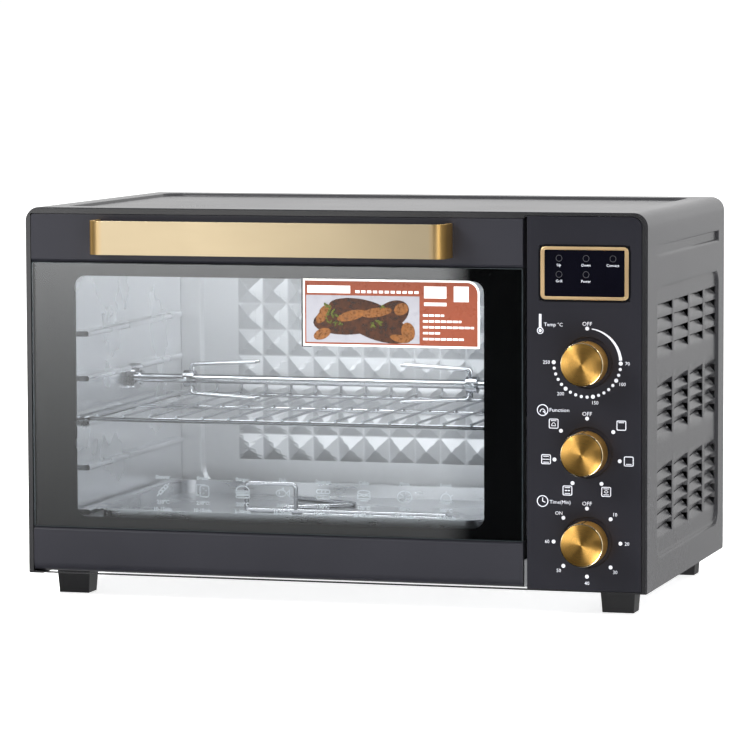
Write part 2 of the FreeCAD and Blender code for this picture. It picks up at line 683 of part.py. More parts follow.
def crumb_tray():
    side_gap = 6.0
    return pan(CAVITY_LEFT + side_gap, CAVITY_RIGHT - side_gap, 24.0, 296.0,
               CAVITY_FLOOR + 0.4, CAVITY_FLOOR + 5.4, 4.0, 0.7)


TOOL_RADIUS = 2.0
TOOL_Z = TRAY_BOTTOM + TRAY_SHEET + TOOL_RADIUS


def tray_tongs():
    """Long wire loop with an upright hook at its left end, for drawing out a hot tray."""
    z = TOOL_Z
    front_y = 108.0
    back_y = 132.0
    left = -118.0
    right = 72.0
    loop = bent_rod([(left, back_y, z), (right, back_y, z), (right, front_y, z), (left + 60, front_y, z)],
                    9.0, TOOL_RADIUS)
    hook = bent_rod([(left, back_y, z), (left, back_y, z + 24), (left + 46, back_y, z + 24),
                     (left + 46, back_y, z)], 4.0, TOOL_RADIUS)
    return joined([loop, hook])


def spit_lifter():
    """Bent wire with two open ends that lifts the spit from below."""
    z = TOOL_Z
    points = [(-100.0, 228.0, z), (-30.0, 196.0, z), (-92.0, 158.0, z)]
    return bent_rod(points, 6.0, TOOL_RADIUS)


# ---- door ------------------------------------------------------------------------------------
TRIM_SHEET = 1.2
TRIM_FACE = 2.8
TOP_BEVEL = 3.0
BOTTOM_BEVEL = 2.5
DOOR_CORNER = 2.5
HINGE_BORE_DEPTH = 12.0
SIDE_FRAME_WIDTH = 28.0


def door_top_trim():
    """Pressed channel above the glass, open at the back, bevelled where it meets the glass."""
    outer = block(DOOR_LEFT, DOOR_RIGHT, 0, DOOR_THICK, GLASS_TOP, DOOR_TOP)
    outer = rounded(outer, Y_AXIS, DOOR_CORNER, lambda point: point.x < 0 and point.z > GLASS_TOP + 1)
    lower_front = [edge for edge in outer.Edges
                   if abs(edge.CenterOfMass.y) < 0.1 and abs(edge.CenterOfMass.z - GLASS_TOP) < 0.1]
    bevel = outer.makeChamfer(TOP_BEVEL, lower_front)
    hollow = block(DOOR_LEFT + TRIM_SHEET, DOOR_RIGHT - TRIM_SHEET, TRIM_FACE, DOOR_THICK + 1,
                   GLASS_TOP + TRIM_SHEET, DOOR_TOP - TRIM_SHEET)
    hollow = rounded(hollow, Y_AXIS, DOOR_CORNER - TRIM_SHEET,
                     lambda point: point.x < 0 and point.z > GLASS_TOP + 9)
    cuts = [rod(HANDLE_SCREW_RADIUS, (x, -1, z), (x, 6, z)) for x, z in handle_screw_places()]
    return bevel.cut(hollow).cut(Part.makeCompound(cuts))


def door_bottom_trim():
    """Bottom rail, round underneath about the hinge line, with a bore at each end for its pin."""
    rail = block(DOOR_LEFT, DOOR_RIGHT, 0, DOOR_THICK, DOOR_BOTTOM, GLASS_BOTTOM)
    rail = rounded(rail, X_AXIS, HINGE_RADIUS - 0.01, lambda point: point.z < HINGE_Z)
    top_edge = [edge for edge in rail.Edges
                if abs(edge.CenterOfMass.y) < 0.1 and abs(edge.CenterOfMass.z - GLASS_BOTTOM) < 0.1]
    rail = rail.makeChamfer(BOTTOM_BEVEL, top_edge)
    end_block = HINGE_BORE_DEPTH + 4
    hollow = block(DOOR_LEFT + end_block, DOOR_RIGHT - end_block, TRIM_FACE, DOOR_THICK + 1,
                   DOOR_BOTTOM + TRIM_FACE, GLASS_BOTTOM - TRIM_SHEET)
    hollow = rounded(hollow, X_AXIS, HINGE_RADIUS - TRIM_FACE,
                     lambda point: point.z < HINGE_Z and point.y < HINGE_Y)
    bores = [rod(HINGE_PIN_RADIUS, (x0, HINGE_Y, HINGE_Z), (x1, HINGE_Y, HINGE_Z))
             for x0, x1 in ((DOOR_LEFT - 1, DOOR_LEFT + HINGE_BORE_DEPTH),
                            (DOOR_RIGHT - HINGE_BORE_DEPTH, DOOR_RIGHT + 1))]
    return rail.cut(hollow).cut(Part.makeCompound(bores))


def door_glass():
    return block(DOOR_LEFT + 0.3, DOOR_RIGHT - 0.3, 0, GLASS_THICK, GLASS_BOTTOM, GLASS_TOP)


def door_side_frame(x0, x1):
    """Folded steel channel behind one edge of the glass, tying the two trims together."""
    outer = block(x0, x1, GLASS_THICK, DOOR_THICK, GLASS_BOTTOM, GLASS_TOP)
    hollow = block(x0 + 1.5, x1 - 1.5, GLASS_THICK + 1.5, DOOR_THICK + 1, GLASS_BOTTOM - 1, GLASS_TOP + 1)
    return outer.cut(hollow)


HANDLE_SCREW_RADIUS = 2.1
HANDLE_SCREW_INSET = 7.0


def handle_screw_places():
    middle = (HANDLE_BOTTOM + HANDLE_TOP) / 2
    return [(x, middle) for x in (HANDLE_LEFT + HANDLE_SCREW_INSET, HANDLE_RIGHT - HANDLE_SCREW_INSET)]


def door_handle():
    """Flat bar bent round at both ends to stand off the door, with a foot under each leg."""
    reach = -HANDLE_REACH
    outer = block(HANDLE_LEFT, HANDLE_RIGHT, reach, 0, HANDLE_BOTTOM, HANDLE_TOP)
    outer = rounded(outer, Z_AXIS, HANDLE_BEND, lambda point: point.y < reach + 1)
    inner = block(HANDLE_LEFT + HANDLE_THICK, HANDLE_RIGHT - HANDLE_THICK, reach + HANDLE_THICK, 1,
                  HANDLE_BOTTOM - 1, HANDLE_TOP + 1)
    inner = rounded(inner, Z_AXIS, HANDLE_BEND - HANDLE_THICK,
                    lambda point: point.y < reach + HANDLE_THICK + 1)
    bar = outer.cut(inner)
    feet = [block(HANDLE_LEFT + 1, HANDLE_LEFT + 14, -3, 0, HANDLE_BOTTOM + 4, HANDLE_TOP - 4),
            block(HANDLE_RIGHT - 14, HANDLE_RIGHT - 1, -3, 0, HANDLE_BOTTOM + 4, HANDLE_TOP - 4)]
    holes = [rod(HANDLE_SCREW_RADIUS, (x, -4, z), (x, 1, z)) for x, z in handle_screw_places()]
    return joined([bar] + feet).cut(Part.makeCompound(holes))


def handle_screws():
    screws = []
    for x, z in handle_screw_places():
        stem = rod(HANDLE_SCREW_RADIUS, (x, -3, z), (x, TRIM_FACE, z))
        head = rod(SCREW_HEAD_RADIUS, (x, TRIM_FACE, z), (x, TRIM_FACE + 2.4, z))
        screws.append(stem.fuse(head))
    return Part.makeCompound(screws)


def hinge_pins():
    pins = []
    for inner, outer in ((DOOR_LEFT + HINGE_BORE_DEPTH, DOOR_LEFT - 2.3),
                         (DOOR_RIGHT - HINGE_BORE_DEPTH, DOOR_RIGHT + 3.0)):
        pins.append(rod(HINGE_PIN_RADIUS, (inner, HINGE_Y, HINGE_Z), (outer, HINGE_Y, HINGE_Z)))
    return Part.makeCompound(pins)


def hinge_brackets():
    """Steel ears with the holes that the door pins turn in, fixed to the front plate."""
    ears = []
    for x0, x1 in ((DOOR_LEFT - 2.4, DOOR_LEFT - 0.5), (DOOR_RIGHT + 0.6, PANEL_LEFT - 0.6)):
        ear = block(x0, x1, RIM_DEPTH + 0.2, PLATE_FRONT, BASE_BOTTOM + 1.6, HINGE_Z + 16)
        hole = rod(HINGE_PIN_RADIUS + RUNNING_GAP, (x0 - 1, HINGE_Y, HINGE_Z), (x1 + 1, HINGE_Y, HINGE_Z))
        ears.append(ear.cut(hole))
    return Part.makeCompound(ears)


SPRING_RADIUS = 4.0
SPRING_WIRE = 0.8
SPRING_PITCH = 2.6
SPRING_LENGTH = 52.0
SPRING_PLACES = ((CAVITY_LEFT - 18.0, 40.0, 34.0), (CAVITY_RIGHT + 17.0, 40.0, 34.0))


def hinge_springs():
    """A close-wound extension spring behind each side of the cavity mouth that pulls the door shut."""
    springs = []
    for place in SPRING_PLACES:
        helix = Part.makeHelix(SPRING_PITCH, SPRING_LENGTH, SPRING_RADIUS)
        wire = Part.Wire(helix.Edges)
        ring = Part.Wire(Part.makeCircle(SPRING_WIRE, Vector(SPRING_RADIUS, 0, 0), Y_AXIS))
        coil = wire.makePipeShell([ring], True, True)
        coil.rotate(Vector(0, 0, 0), X_AXIS, -90)
        coil.translate(Vector(*place))
        springs.append(coil)
    return Part.makeCompound(springs)


# ---- controls --------------------------------------------------------------------------------
BEZEL_LEFT = 184.6
BEZEL_RIGHT = 260.3
BEZEL_BOTTOM = 266.8
BEZEL_TOP = 311.4
BEZEL_BAND = 3.6
BEZEL_PROUD = 0.6
POCKET_GAP = 0.9
POCKET_DEPTH = 1.6
NECK_RADIUS = 4.7
NECK_HOLE = 4.9
BODY_FRONT = PANEL_DEPTH + 1.0


def control_panel():
    """Moulded panel with a pocket for the display and a round recess round each knob."""
    body = block(PANEL_LEFT, PANEL_RIGHT, 0, PANEL_DEPTH, PANEL_BOTTOM, PANEL_TOP)
    body = rounded(body, Y_AXIS, PANEL_CORNER, lambda point: point.x > 200 and point.z > 200)
    wall = 2.0
    hollow = block(PANEL_LEFT + wall, PANEL_RIGHT - wall, PANEL_SHEET, PANEL_DEPTH + 1,
                   PANEL_BOTTOM + wall, PANEL_TOP - wall)
    hollow = rounded(hollow, Y_AXIS, PANEL_CORNER - wall, lambda point: point.x > 200 and point.z > 200)
    body = body.cut(hollow)
    ledge = 2.0
    cuts = [block(BEZEL_LEFT - POCKET_GAP, BEZEL_RIGHT + POCKET_GAP, -1, POCKET_DEPTH,
                  BEZEL_BOTTOM - POCKET_GAP, BEZEL_TOP + POCKET_GAP),
            block(BEZEL_LEFT + ledge, BEZEL_RIGHT - ledge, 0, PANEL_SHEET + 1,
                  BEZEL_BOTTOM + ledge, BEZEL_TOP - ledge)]
    for z in KNOB_HEIGHTS:
        cuts.append(rod(KNOB_RECESS_RADIUS, (KNOB_X, -1, z), (KNOB_X, KNOB_RECESS_DEPTH, z)))
        cuts.append(rod(NECK_HOLE, (KNOB_X, 0, z), (KNOB_X, PANEL_SHEET + 1, z)))
    return body.cut(Part.makeCompound(cuts))


def display_bezel():
    ring = round_block(BEZEL_LEFT, BEZEL_RIGHT, -BEZEL_PROUD, POCKET_DEPTH, BEZEL_BOTTOM, BEZEL_TOP,
                       Y_AXIS, 2.0)
    hole = round_block(BEZEL_LEFT + BEZEL_BAND, BEZEL_RIGHT - BEZEL_BAND, -2, POCKET_DEPTH + 1,
                       BEZEL_BOTTOM + BEZEL_BAND - 0.8, BEZEL_TOP - BEZEL_BAND + 0.8, Y_AXIS, 1.0)
    return ring.cut(hole)


def display_window():
    return round_block(BEZEL_LEFT + BEZEL_BAND, BEZEL_RIGHT - BEZEL_BAND, 0.2, POCKET_DEPTH,
                       BEZEL_BOTTOM + BEZEL_BAND - 0.8, BEZEL_TOP - BEZEL_BAND + 0.8, Y_AXIS, 1.0)


INDICATORS = ((-0.30, 0.22), (0.02, 0.22), (0.34, 0.22), (-0.30, -0.18), (0.02, -0.18))


def display_board():
    """Circuit board with one small lamp behind each indicator mark."""
    board = block(BEZEL_LEFT + 3, BEZEL_RIGHT - 3, 7.0, 8.6, BEZEL_BOTTOM - 6, BEZEL_TOP + 6)
    centre_x = (BEZEL_LEFT + BEZEL_RIGHT) / 2
    centre_z = (BEZEL_BOTTOM + BEZEL_TOP) / 2
    width = BEZEL_RIGHT - BEZEL_LEFT
    lamps = []
    for across, upward in INDICATORS:
        x = centre_x + across * width
        z = centre_z + upward * width
        lamps.append(rod(1.6, (x, 3.2, z), (x, 7.2, z)))
    return joined([board] + lamps)


def knob(z):
    """Turned cap with a chamfered rim and a hollow back that clears the shaft's neck."""
    front = -KNOB_REACH
    back = -KNOB_GAP
    cap = rod(KNOB_RADIUS, (KNOB_X, front, z), (KNOB_X, back, z))
    front_edge = [edge for edge in cap.Edges if abs(edge.CenterOfMass.y - front) < 0.01]
    cap = cap.makeChamfer(KNOB_CHAMFER, front_edge)
    hollow = rod(KNOB_RADIUS - KNOB_WALL, (KNOB_X, -6, z), (KNOB_X, 1, z))
    bore = rod(SHAFT_RADIUS, (KNOB_X, SHAFT_END, z), (KNOB_X, 1, z))
    return cap.cut(hollow).cut(bore)


def control_shaft(z):
    return rod(SHAFT_RADIUS, (KNOB_X, SHAFT_END, z), (KNOB_X, BODY_FRONT + 8, z))


def control_body(z, half_width, depth, corner):
    """Switch, thermostat or clockwork behind the panel, held by its threaded neck."""
    body = round_block(KNOB_X - half_width, KNOB_X + half_width, BODY_FRONT, BODY_FRONT + depth,
                       z - half_width, z + half_width, Y_AXIS, corner)
    neck = rod(NECK_RADIUS, (KNOB_X, -3, z), (KNOB_X, BODY_FRONT, z))
    bore = rod(SHAFT_RADIUS + RUNNING_GAP, (KNOB_X, -4, z), (KNOB_X, BODY_FRONT + 9, z))
    back = BODY_FRONT + depth
    tabs = [block(KNOB_X + dx - 3, KNOB_X + dx + 3, back, back + 8, z - 0.4, z + 0.4)
            for dx in (-9, 9)]
    return joined([body, neck] + tabs).cut(bore)


def terminal_block():
    """Three-way block on the base where the supply wires meet the oven's own."""
    body = block(190, 232, 262, 280, BASE_BOTTOM + 1, BASE_BOTTOM + 17)
    holes = [rod(2.2, (x, 261, BASE_BOTTOM + 9), (x, 281, BASE_BOTTOM + 9)) for x in (198, 211, 224)]
    return body.cut(Part.makeCompound(holes))


# ---- the assembly ----------------------------------------------------------------------------
def main():
    os.makedirs("parts", exist_ok=True)
    save("outer_cover", outer_cover())
    save("rear_cover", rear_cover())
    save("cord_inlet_bush", cord_inlet_bush())
    save("base_plate", base_plate())
    for name, (x, y) in foot_centres().items():
        save(name, foot(x, y))
    save("casing_screws", Part.makeCompound(rear_screws() + foot_screws()))
    save("front_rim", front_rim())
    save("front_plate", front_plate())

    save("cavity_left_wall", cavity_left_wall())
    save("cavity_right_wall", cavity_right_wall())
    save("cavity_ceiling", cavity_ceiling())
    save("cavity_floor", cavity_floor())
    save("cavity_back_wall", cavity_back_wall())
    save("upper_heating_elements", heating_elements(UPPER_HEATER_Z))
    save("lower_heating_elements", heating_elements(LOWER_HEATER_Z))
    save("heater_insulators", heater_insulators())
    save("lamp_lens", lamp_lens())
    save("oven_lamp", oven_lamp())
    save("fan_blade", fan_blade())
    save("fan_housing", fan_housing())
    save("fan_motor", fan_motor())

    save("spit_rod", spit_rod())
    save("drive_socket", drive_socket())
    save("spit_forks", spit_forks())
    save("fork_screws", fork_screws())
    save("spit_bearing", spit_bearing())
    save("rotisserie_motor", rotisserie_motor())
    save("wire_rack", wire_rack())
    save("rack_fence", rack_fence())
    save("baking_tray", baking_tray())
    save("crumb_tray", crumb_tray())
    save("tray_tongs", tray_tongs())
    save("spit_lifter", spit_lifter())

    save("door_top_trim", door_top_trim())
    save("door_bottom_trim", door_bottom_trim())
    save("door_glass", door_glass())
    save("door_left_frame", door_side_frame(DOOR_LEFT + 1, DOOR_LEFT + 1 + SIDE_FRAME_WIDTH))
    save("door_right_frame", door_side_frame(DOOR_RIGHT - 1 - SIDE_FRAME_WIDTH, DOOR_RIGHT - 1))
    save("door_handle", door_handle())
    save("handle_screws", handle_screws())
    save("hinge_pins", hinge_pins())
    save("hinge_brackets", hinge_brackets())
    save("hinge_springs", hinge_springs())

    save("control_panel", control_panel())
    save("display_bezel", display_bezel())
    save("display_window", display_window())
    save("display_board", display_board())
    save("terminal_block", terminal_block())
    sizes = {"temperature": (17.0, 24.0, 3.0), "function": (15.0, 30.0, 2.0), "timer": (22.0, 34.0, 5.0)}
    bodies = {"temperature": "thermostat", "function": "function_switch", "timer": "timer_clockwork"}
    for (kind, (half_width, depth, corner)), z in zip(sizes.items(), KNOB_HEIGHTS):
        save(kind + "_knob", knob(z))
        save(kind + "_shaft", control_shaft(z))
        save(bodies[kind], control_body(z, half_width, depth, corner))


main()
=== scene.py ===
import json
import math
import random

import bmesh
import bpy
from mathutils import Matrix, Vector


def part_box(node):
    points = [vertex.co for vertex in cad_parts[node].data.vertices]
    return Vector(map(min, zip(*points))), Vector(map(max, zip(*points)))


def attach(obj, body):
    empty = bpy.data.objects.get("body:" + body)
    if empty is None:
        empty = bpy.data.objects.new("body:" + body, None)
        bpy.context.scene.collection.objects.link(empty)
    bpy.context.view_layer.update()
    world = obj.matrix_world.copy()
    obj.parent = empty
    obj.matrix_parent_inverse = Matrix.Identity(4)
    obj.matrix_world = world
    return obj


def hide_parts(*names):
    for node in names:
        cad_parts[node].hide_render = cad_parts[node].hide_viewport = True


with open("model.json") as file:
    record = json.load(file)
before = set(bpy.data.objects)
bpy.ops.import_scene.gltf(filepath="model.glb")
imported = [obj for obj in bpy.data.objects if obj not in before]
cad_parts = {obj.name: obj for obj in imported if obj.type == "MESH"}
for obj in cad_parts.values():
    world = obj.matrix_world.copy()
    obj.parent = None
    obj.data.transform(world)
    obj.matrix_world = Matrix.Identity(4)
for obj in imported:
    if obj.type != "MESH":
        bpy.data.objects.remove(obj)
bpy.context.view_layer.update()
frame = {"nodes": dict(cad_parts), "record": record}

# Sizes below are millimetres. y is counted from the front edge of the casing towards the back.
MM = 0.001
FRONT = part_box("front_rim")[0].y / MM
RANDOM = random.Random(7)


def span(node):
    """(x0, x1, y0, y1, z0, z1) of a CAD node in millimetres, y from the casing's front."""
    low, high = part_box(node)
    return (low.x / MM, high.x / MM, low.y / MM - FRONT, high.y / MM - FRONT, low.z / MM, high.z / MM)


def place(x, y, z):
    return Vector((x * MM, (y + FRONT) * MM, z * MM))


# ---- camera ----------------------------------------------------------------------------------
CAMERA_AT = (1016.2, -3351.2, 501.1)
CAMERA_YAW = 0.28343
CAMERA_PITCH = 0.08597
CAMERA_ROLL = -0.00335
LENS = 198.2


def make_camera():
    camera = bpy.data.objects.new("camera", bpy.data.cameras.new("camera"))
    bpy.context.scene.collection.objects.link(camera)
    camera.data.lens = LENS
    camera.data.sensor_width = 36.0
    camera.data.clip_end = 50.0
    turn = Matrix.Rotation(CAMERA_YAW, 4, "Z") @ Matrix.Rotation(math.pi / 2 - CAMERA_PITCH, 4, "X")
    turn = turn @ Matrix.Rotation(CAMERA_ROLL, 4, "Z")
    camera.matrix_world = Matrix.Translation(place(*CAMERA_AT)) @ turn
    bpy.context.scene.camera = camera


# ---- materials -------------------------------------------------------------------------------
def blank(name):
    material = bpy.data.materials.new(name)
    material.use_nodes = True
    nodes = material.node_tree.nodes
    links = material.node_tree.links
    return material, nodes, links, nodes["Principled BSDF"]


def coordinates(nodes, links, stretch=(1, 1, 1)):
    source = nodes.new("ShaderNodeTexCoord")
    mapping = nodes.new("ShaderNodeMapping")
    mapping.inputs["Scale"].default_value = stretch
    links.new(source.outputs["Object"], mapping.inputs["Vector"])
    return mapping.outputs["Vector"]


def noise(nodes, links, vector, scale, detail=3.0, roughness=0.5):
    node = nodes.new("ShaderNodeTexNoise")
    node.inputs["Scale"].default_value = scale
    node.inputs["Detail"].default_value = detail
    node.inputs["Roughness"].default_value = roughness
    links.new(vector, node.inputs["Vector"])
    return node.outputs["Fac"]


def spread(nodes, links, value, low, high, out_low, out_high):
    node = nodes.new("ShaderNodeMapRange")
    node.inputs["From Min"].default_value = low
    node.inputs["From Max"].default_value = high
    node.inputs["To Min"].default_value = out_low
    node.inputs["To Max"].default_value = out_high
    links.new(value, node.inputs["Value"])
    return node.outputs["Result"]


def blend_colours(nodes, links, factor, first, second):
    node = nodes.new("ShaderNodeMix")
    node.data_type = "RGBA"
    node.inputs[6].default_value = (*first, 1)
    node.inputs[7].default_value = (*second, 1)
    links.new(factor, node.inputs[0])
    return node.outputs[2]


def bumped(nodes, links, height, strength, distance):
    node = nodes.new("ShaderNodeBump")
    node.inputs["Strength"].default_value = strength
    node.inputs["Distance"].default_value = distance * MM
    links.new(height, node.inputs["Height"])
    return node.outputs["Normal"]


def surface(name, colour, metallic=0.0, roughness=0.4, wander=0.06, shade=0.12, grain=900.0, bump=0.15,
            depth=0.05, stretch=(1, 1, 1), cloud=12.0, coat=0.0, coat_roughness=0.1, specular=0.5):
    """A painted, moulded or metal surface: fine grain in the relief, slow clouds in colour and gloss."""
    material, nodes, links, shader = blank(name)
    vector = coordinates(nodes, links, stretch)
    fine = noise(nodes, links, vector, grain, 2.0, 0.6)
    slow = noise(nodes, links, coordinates(nodes, links), cloud, 4.0, 0.55)
    darker = tuple(c * (1 - shade) for c in colour)
    lighter = tuple(min(1.0, c * (1 + shade)) for c in colour)
    tone = spread(nodes, links, slow, 0.3, 0.7, 0.0, 1.0)
    links.new(blend_colours(nodes, links, tone, darker, lighter), shader.inputs["Base Color"])
    gloss = nodes.new("ShaderNodeMath")
    gloss.operation = "ADD"
    links.new(spread(nodes, links, slow, 0.3, 0.7, roughness - wander, roughness + wander),
              gloss.inputs[0])
    links.new(spread(nodes, links, fine, 0.2, 0.8, -wander / 2, wander / 2), gloss.inputs[1])
    links.new(gloss.outputs[0], shader.inputs["Roughness"])
    links.new(bumped(nodes, links, fine, bump, depth), shader.inputs["Normal"])
    shader.inputs["Metallic"].default_value = metallic
    shader.inputs["Coat Weight"].default_value = coat
    shader.inputs["Coat Roughness"].default_value = coat_roughness
    shader.inputs["Specular IOR Level"].default_value = specular
    return material


def aluminised(name, colour, roughness):
    """Bright dipped sheet: faint crystal flakes, rolled streaks and soft clouds."""
    material, nodes, links, shader = blank(name)
    vector = coordinates(nodes, links)
    flakes = nodes.new("ShaderNodeTexVoronoi")
    flakes.inputs["Scale"].default_value = 160.0
    links.new(vector, flakes.inputs["Vector"])
    flake = spread(nodes, links, flakes.outputs["Distance"], 0.0, 0.9, 0.0, 1.0)
    slow = noise(nodes, links, vector, 9.0, 4.0)
    streak = noise(nodes, links, coordinates(nodes, links, (1, 1, 0.03)), 700.0, 2.0)
    tone = nodes.new("ShaderNodeMath")
    tone.operation = "MULTIPLY_ADD"
    tone.inputs[1].default_value = 0.25
    links.new(flake, tone.inputs[0])
    links.new(spread(nodes, links, slow, 0.3, 0.7, 0.0, 0.75), tone.inputs[2])
    low = tuple(c * 0.88 for c in colour)
    links.new(blend_colours(nodes, links, tone.outputs[0], low, colour), shader.inputs["Base Color"])
    links.new(spread(nodes, links, slow, 0.25, 0.75, roughness - 0.06, roughness + 0.08),
              shader.inputs["Roughness"])
    links.new(bumped(nodes, links, streak, 0.12, 0.03), shader.inputs["Normal"])
    shader.inputs["Metallic"].default_value = 1.0
    return material


def spun_metal(name, colour, roughness):
    """Metal turned on a lathe about Y: rings in the relief and a highlight that fans from the centre."""
    material, nodes, links, shader = blank(name)
    source = nodes.new("ShaderNodeTexCoord")
    centred = nodes.new("ShaderNodeVectorMath")
    centred.operation = "SUBTRACT"
    centred.inputs[1].default_value = (0.5, 0.5, 0.5)
    links.new(source.outputs["Generated"], centred.inputs[0])
    flat = nodes.new("ShaderNodeVectorMath")
    flat.operation = "MULTIPLY"
    flat.inputs[1].default_value = (1, 0, 1)
    links.new(centred.outputs[0], flat.inputs[0])
    length = nodes.new("ShaderNodeVectorMath")
    length.operation = "LENGTH"
    links.new(flat.outputs[0], length.inputs[0])
    rings = nodes.new("ShaderNodeTexNoise")
    rings.noise_dimensions = "1D"
    rings.inputs["Scale"].default_value = 260.0
    rings.inputs["Detail"].default_value = 3.0
    links.new(length.outputs["Value"], rings.inputs["W"])
    ring = rings.outputs["Fac"]
    low = tuple(c * 0.9 for c in colour)
    links.new(blend_colours(nodes, links, ring, low, colour), shader.inputs["Base Color"])
    links.new(spread(nodes, links, ring, 0.3, 0.7, roughness - 0.05, roughness + 0.05),
              shader.inputs["Roughness"])
    links.new(bumped(nodes, links, ring, 0.08, 0.02), shader.inputs["Normal"])
    tangent = nodes.new("ShaderNodeTangent")
    tangent.direction_type = "RADIAL"
    tangent.axis = "Y"
    links.new(tangent.outputs["Tangent"], shader.inputs["Tangent"])
    shader.inputs["Metallic"].default_value = 1.0
    shader.inputs["Anisotropic"].default_value = 0.85
    shader.inputs["Anisotropic Rotation"].default_value = 0.25
    return material


def clear_glass(name, tint, ior=1.5, haze=0.0):
    """A pane: it lets light straight through and mirrors more towards grazing angles."""
    material, nodes, links, shader = blank(name)
    nodes.remove(shader)
    output = nodes["Material Output"]
    through = nodes.new("ShaderNodeBsdfTransparent")
    mirror = nodes.new("ShaderNodeBsdfGlossy")
    mix = nodes.new("ShaderNodeMixShader")
    fresnel = nodes.new("ShaderNodeFresnel")
    fresnel.inputs["IOR"].default_value = ior
    smear = noise(nodes, links, coordinates(nodes, links), 6.0, 3.0)
    dim = tuple(c * 0.97 for c in tint)
    links.new(blend_colours(nodes, links, smear, dim, tint), through.inputs["Color"])
    links.new(spread(nodes, links, smear, 0.3, 0.7, haze, haze + 0.02), mirror.inputs["Roughness"])
    links.new(fresnel.outputs[0], mix.inputs[0])
    links.new(through.outputs[0], mix.inputs[1])
    links.new(mirror.outputs[0], mix.inputs[2])
    links.new(mix.outputs[0], output.inputs["Surface"])
    return material


def paint_sheen_fade_at_ends(material, colour, share):
    """Painted reflection: fades the base colour to another one over the given share of the length at both
    ends along X.
    """
    nodes = material.node_tree.nodes
    links = material.node_tree.links
    shader = nodes["Principled BSDF"]
    before = shader.inputs["Base Color"].links[0].from_socket
    source = nodes.new("ShaderNodeTexCoord")
    parts = nodes.new("ShaderNodeSeparateXYZ")
    links.new(source.outputs["Generated"], parts.inputs[0])
    steps = []
    for operation, value in (("SUBTRACT", 0.5), ("ABSOLUTE", None)):
        node = nodes.new("ShaderNodeMath")
        node.operation = operation
        if value is not None:
            node.inputs[1].default_value = value
        links.new(steps[-1].outputs[0] if steps else parts.outputs["X"], node.inputs[0])
        steps.append(node)
    factor = spread(nodes, links, steps[-1].outputs[0], 0.5 - share, 0.5 - share / 3, 0.0, 1.0)
    mix = nodes.new("ShaderNodeMix")
    mix.data_type = "RGBA"
    links.new(factor, mix.inputs[0])
    links.new(before, mix.inputs[6])
    mix.inputs[7].default_value = (*colour, 1)
    links.new(mix.outputs[2], shader.inputs["Base Color"])
    return material


def ink(name, colour, roughness=0.45):
    return surface(name, colour, roughness=roughness, shade=0.05, grain=2500.0, bump=0.05, depth=0.01,
                   cloud=60.0)


def printed_food(name, colour, shade, cloud):
    return surface(name, colour, roughness=0.3, shade=shade, grain=600.0, bump=0.02, depth=0.005,
                   cloud=cloud)


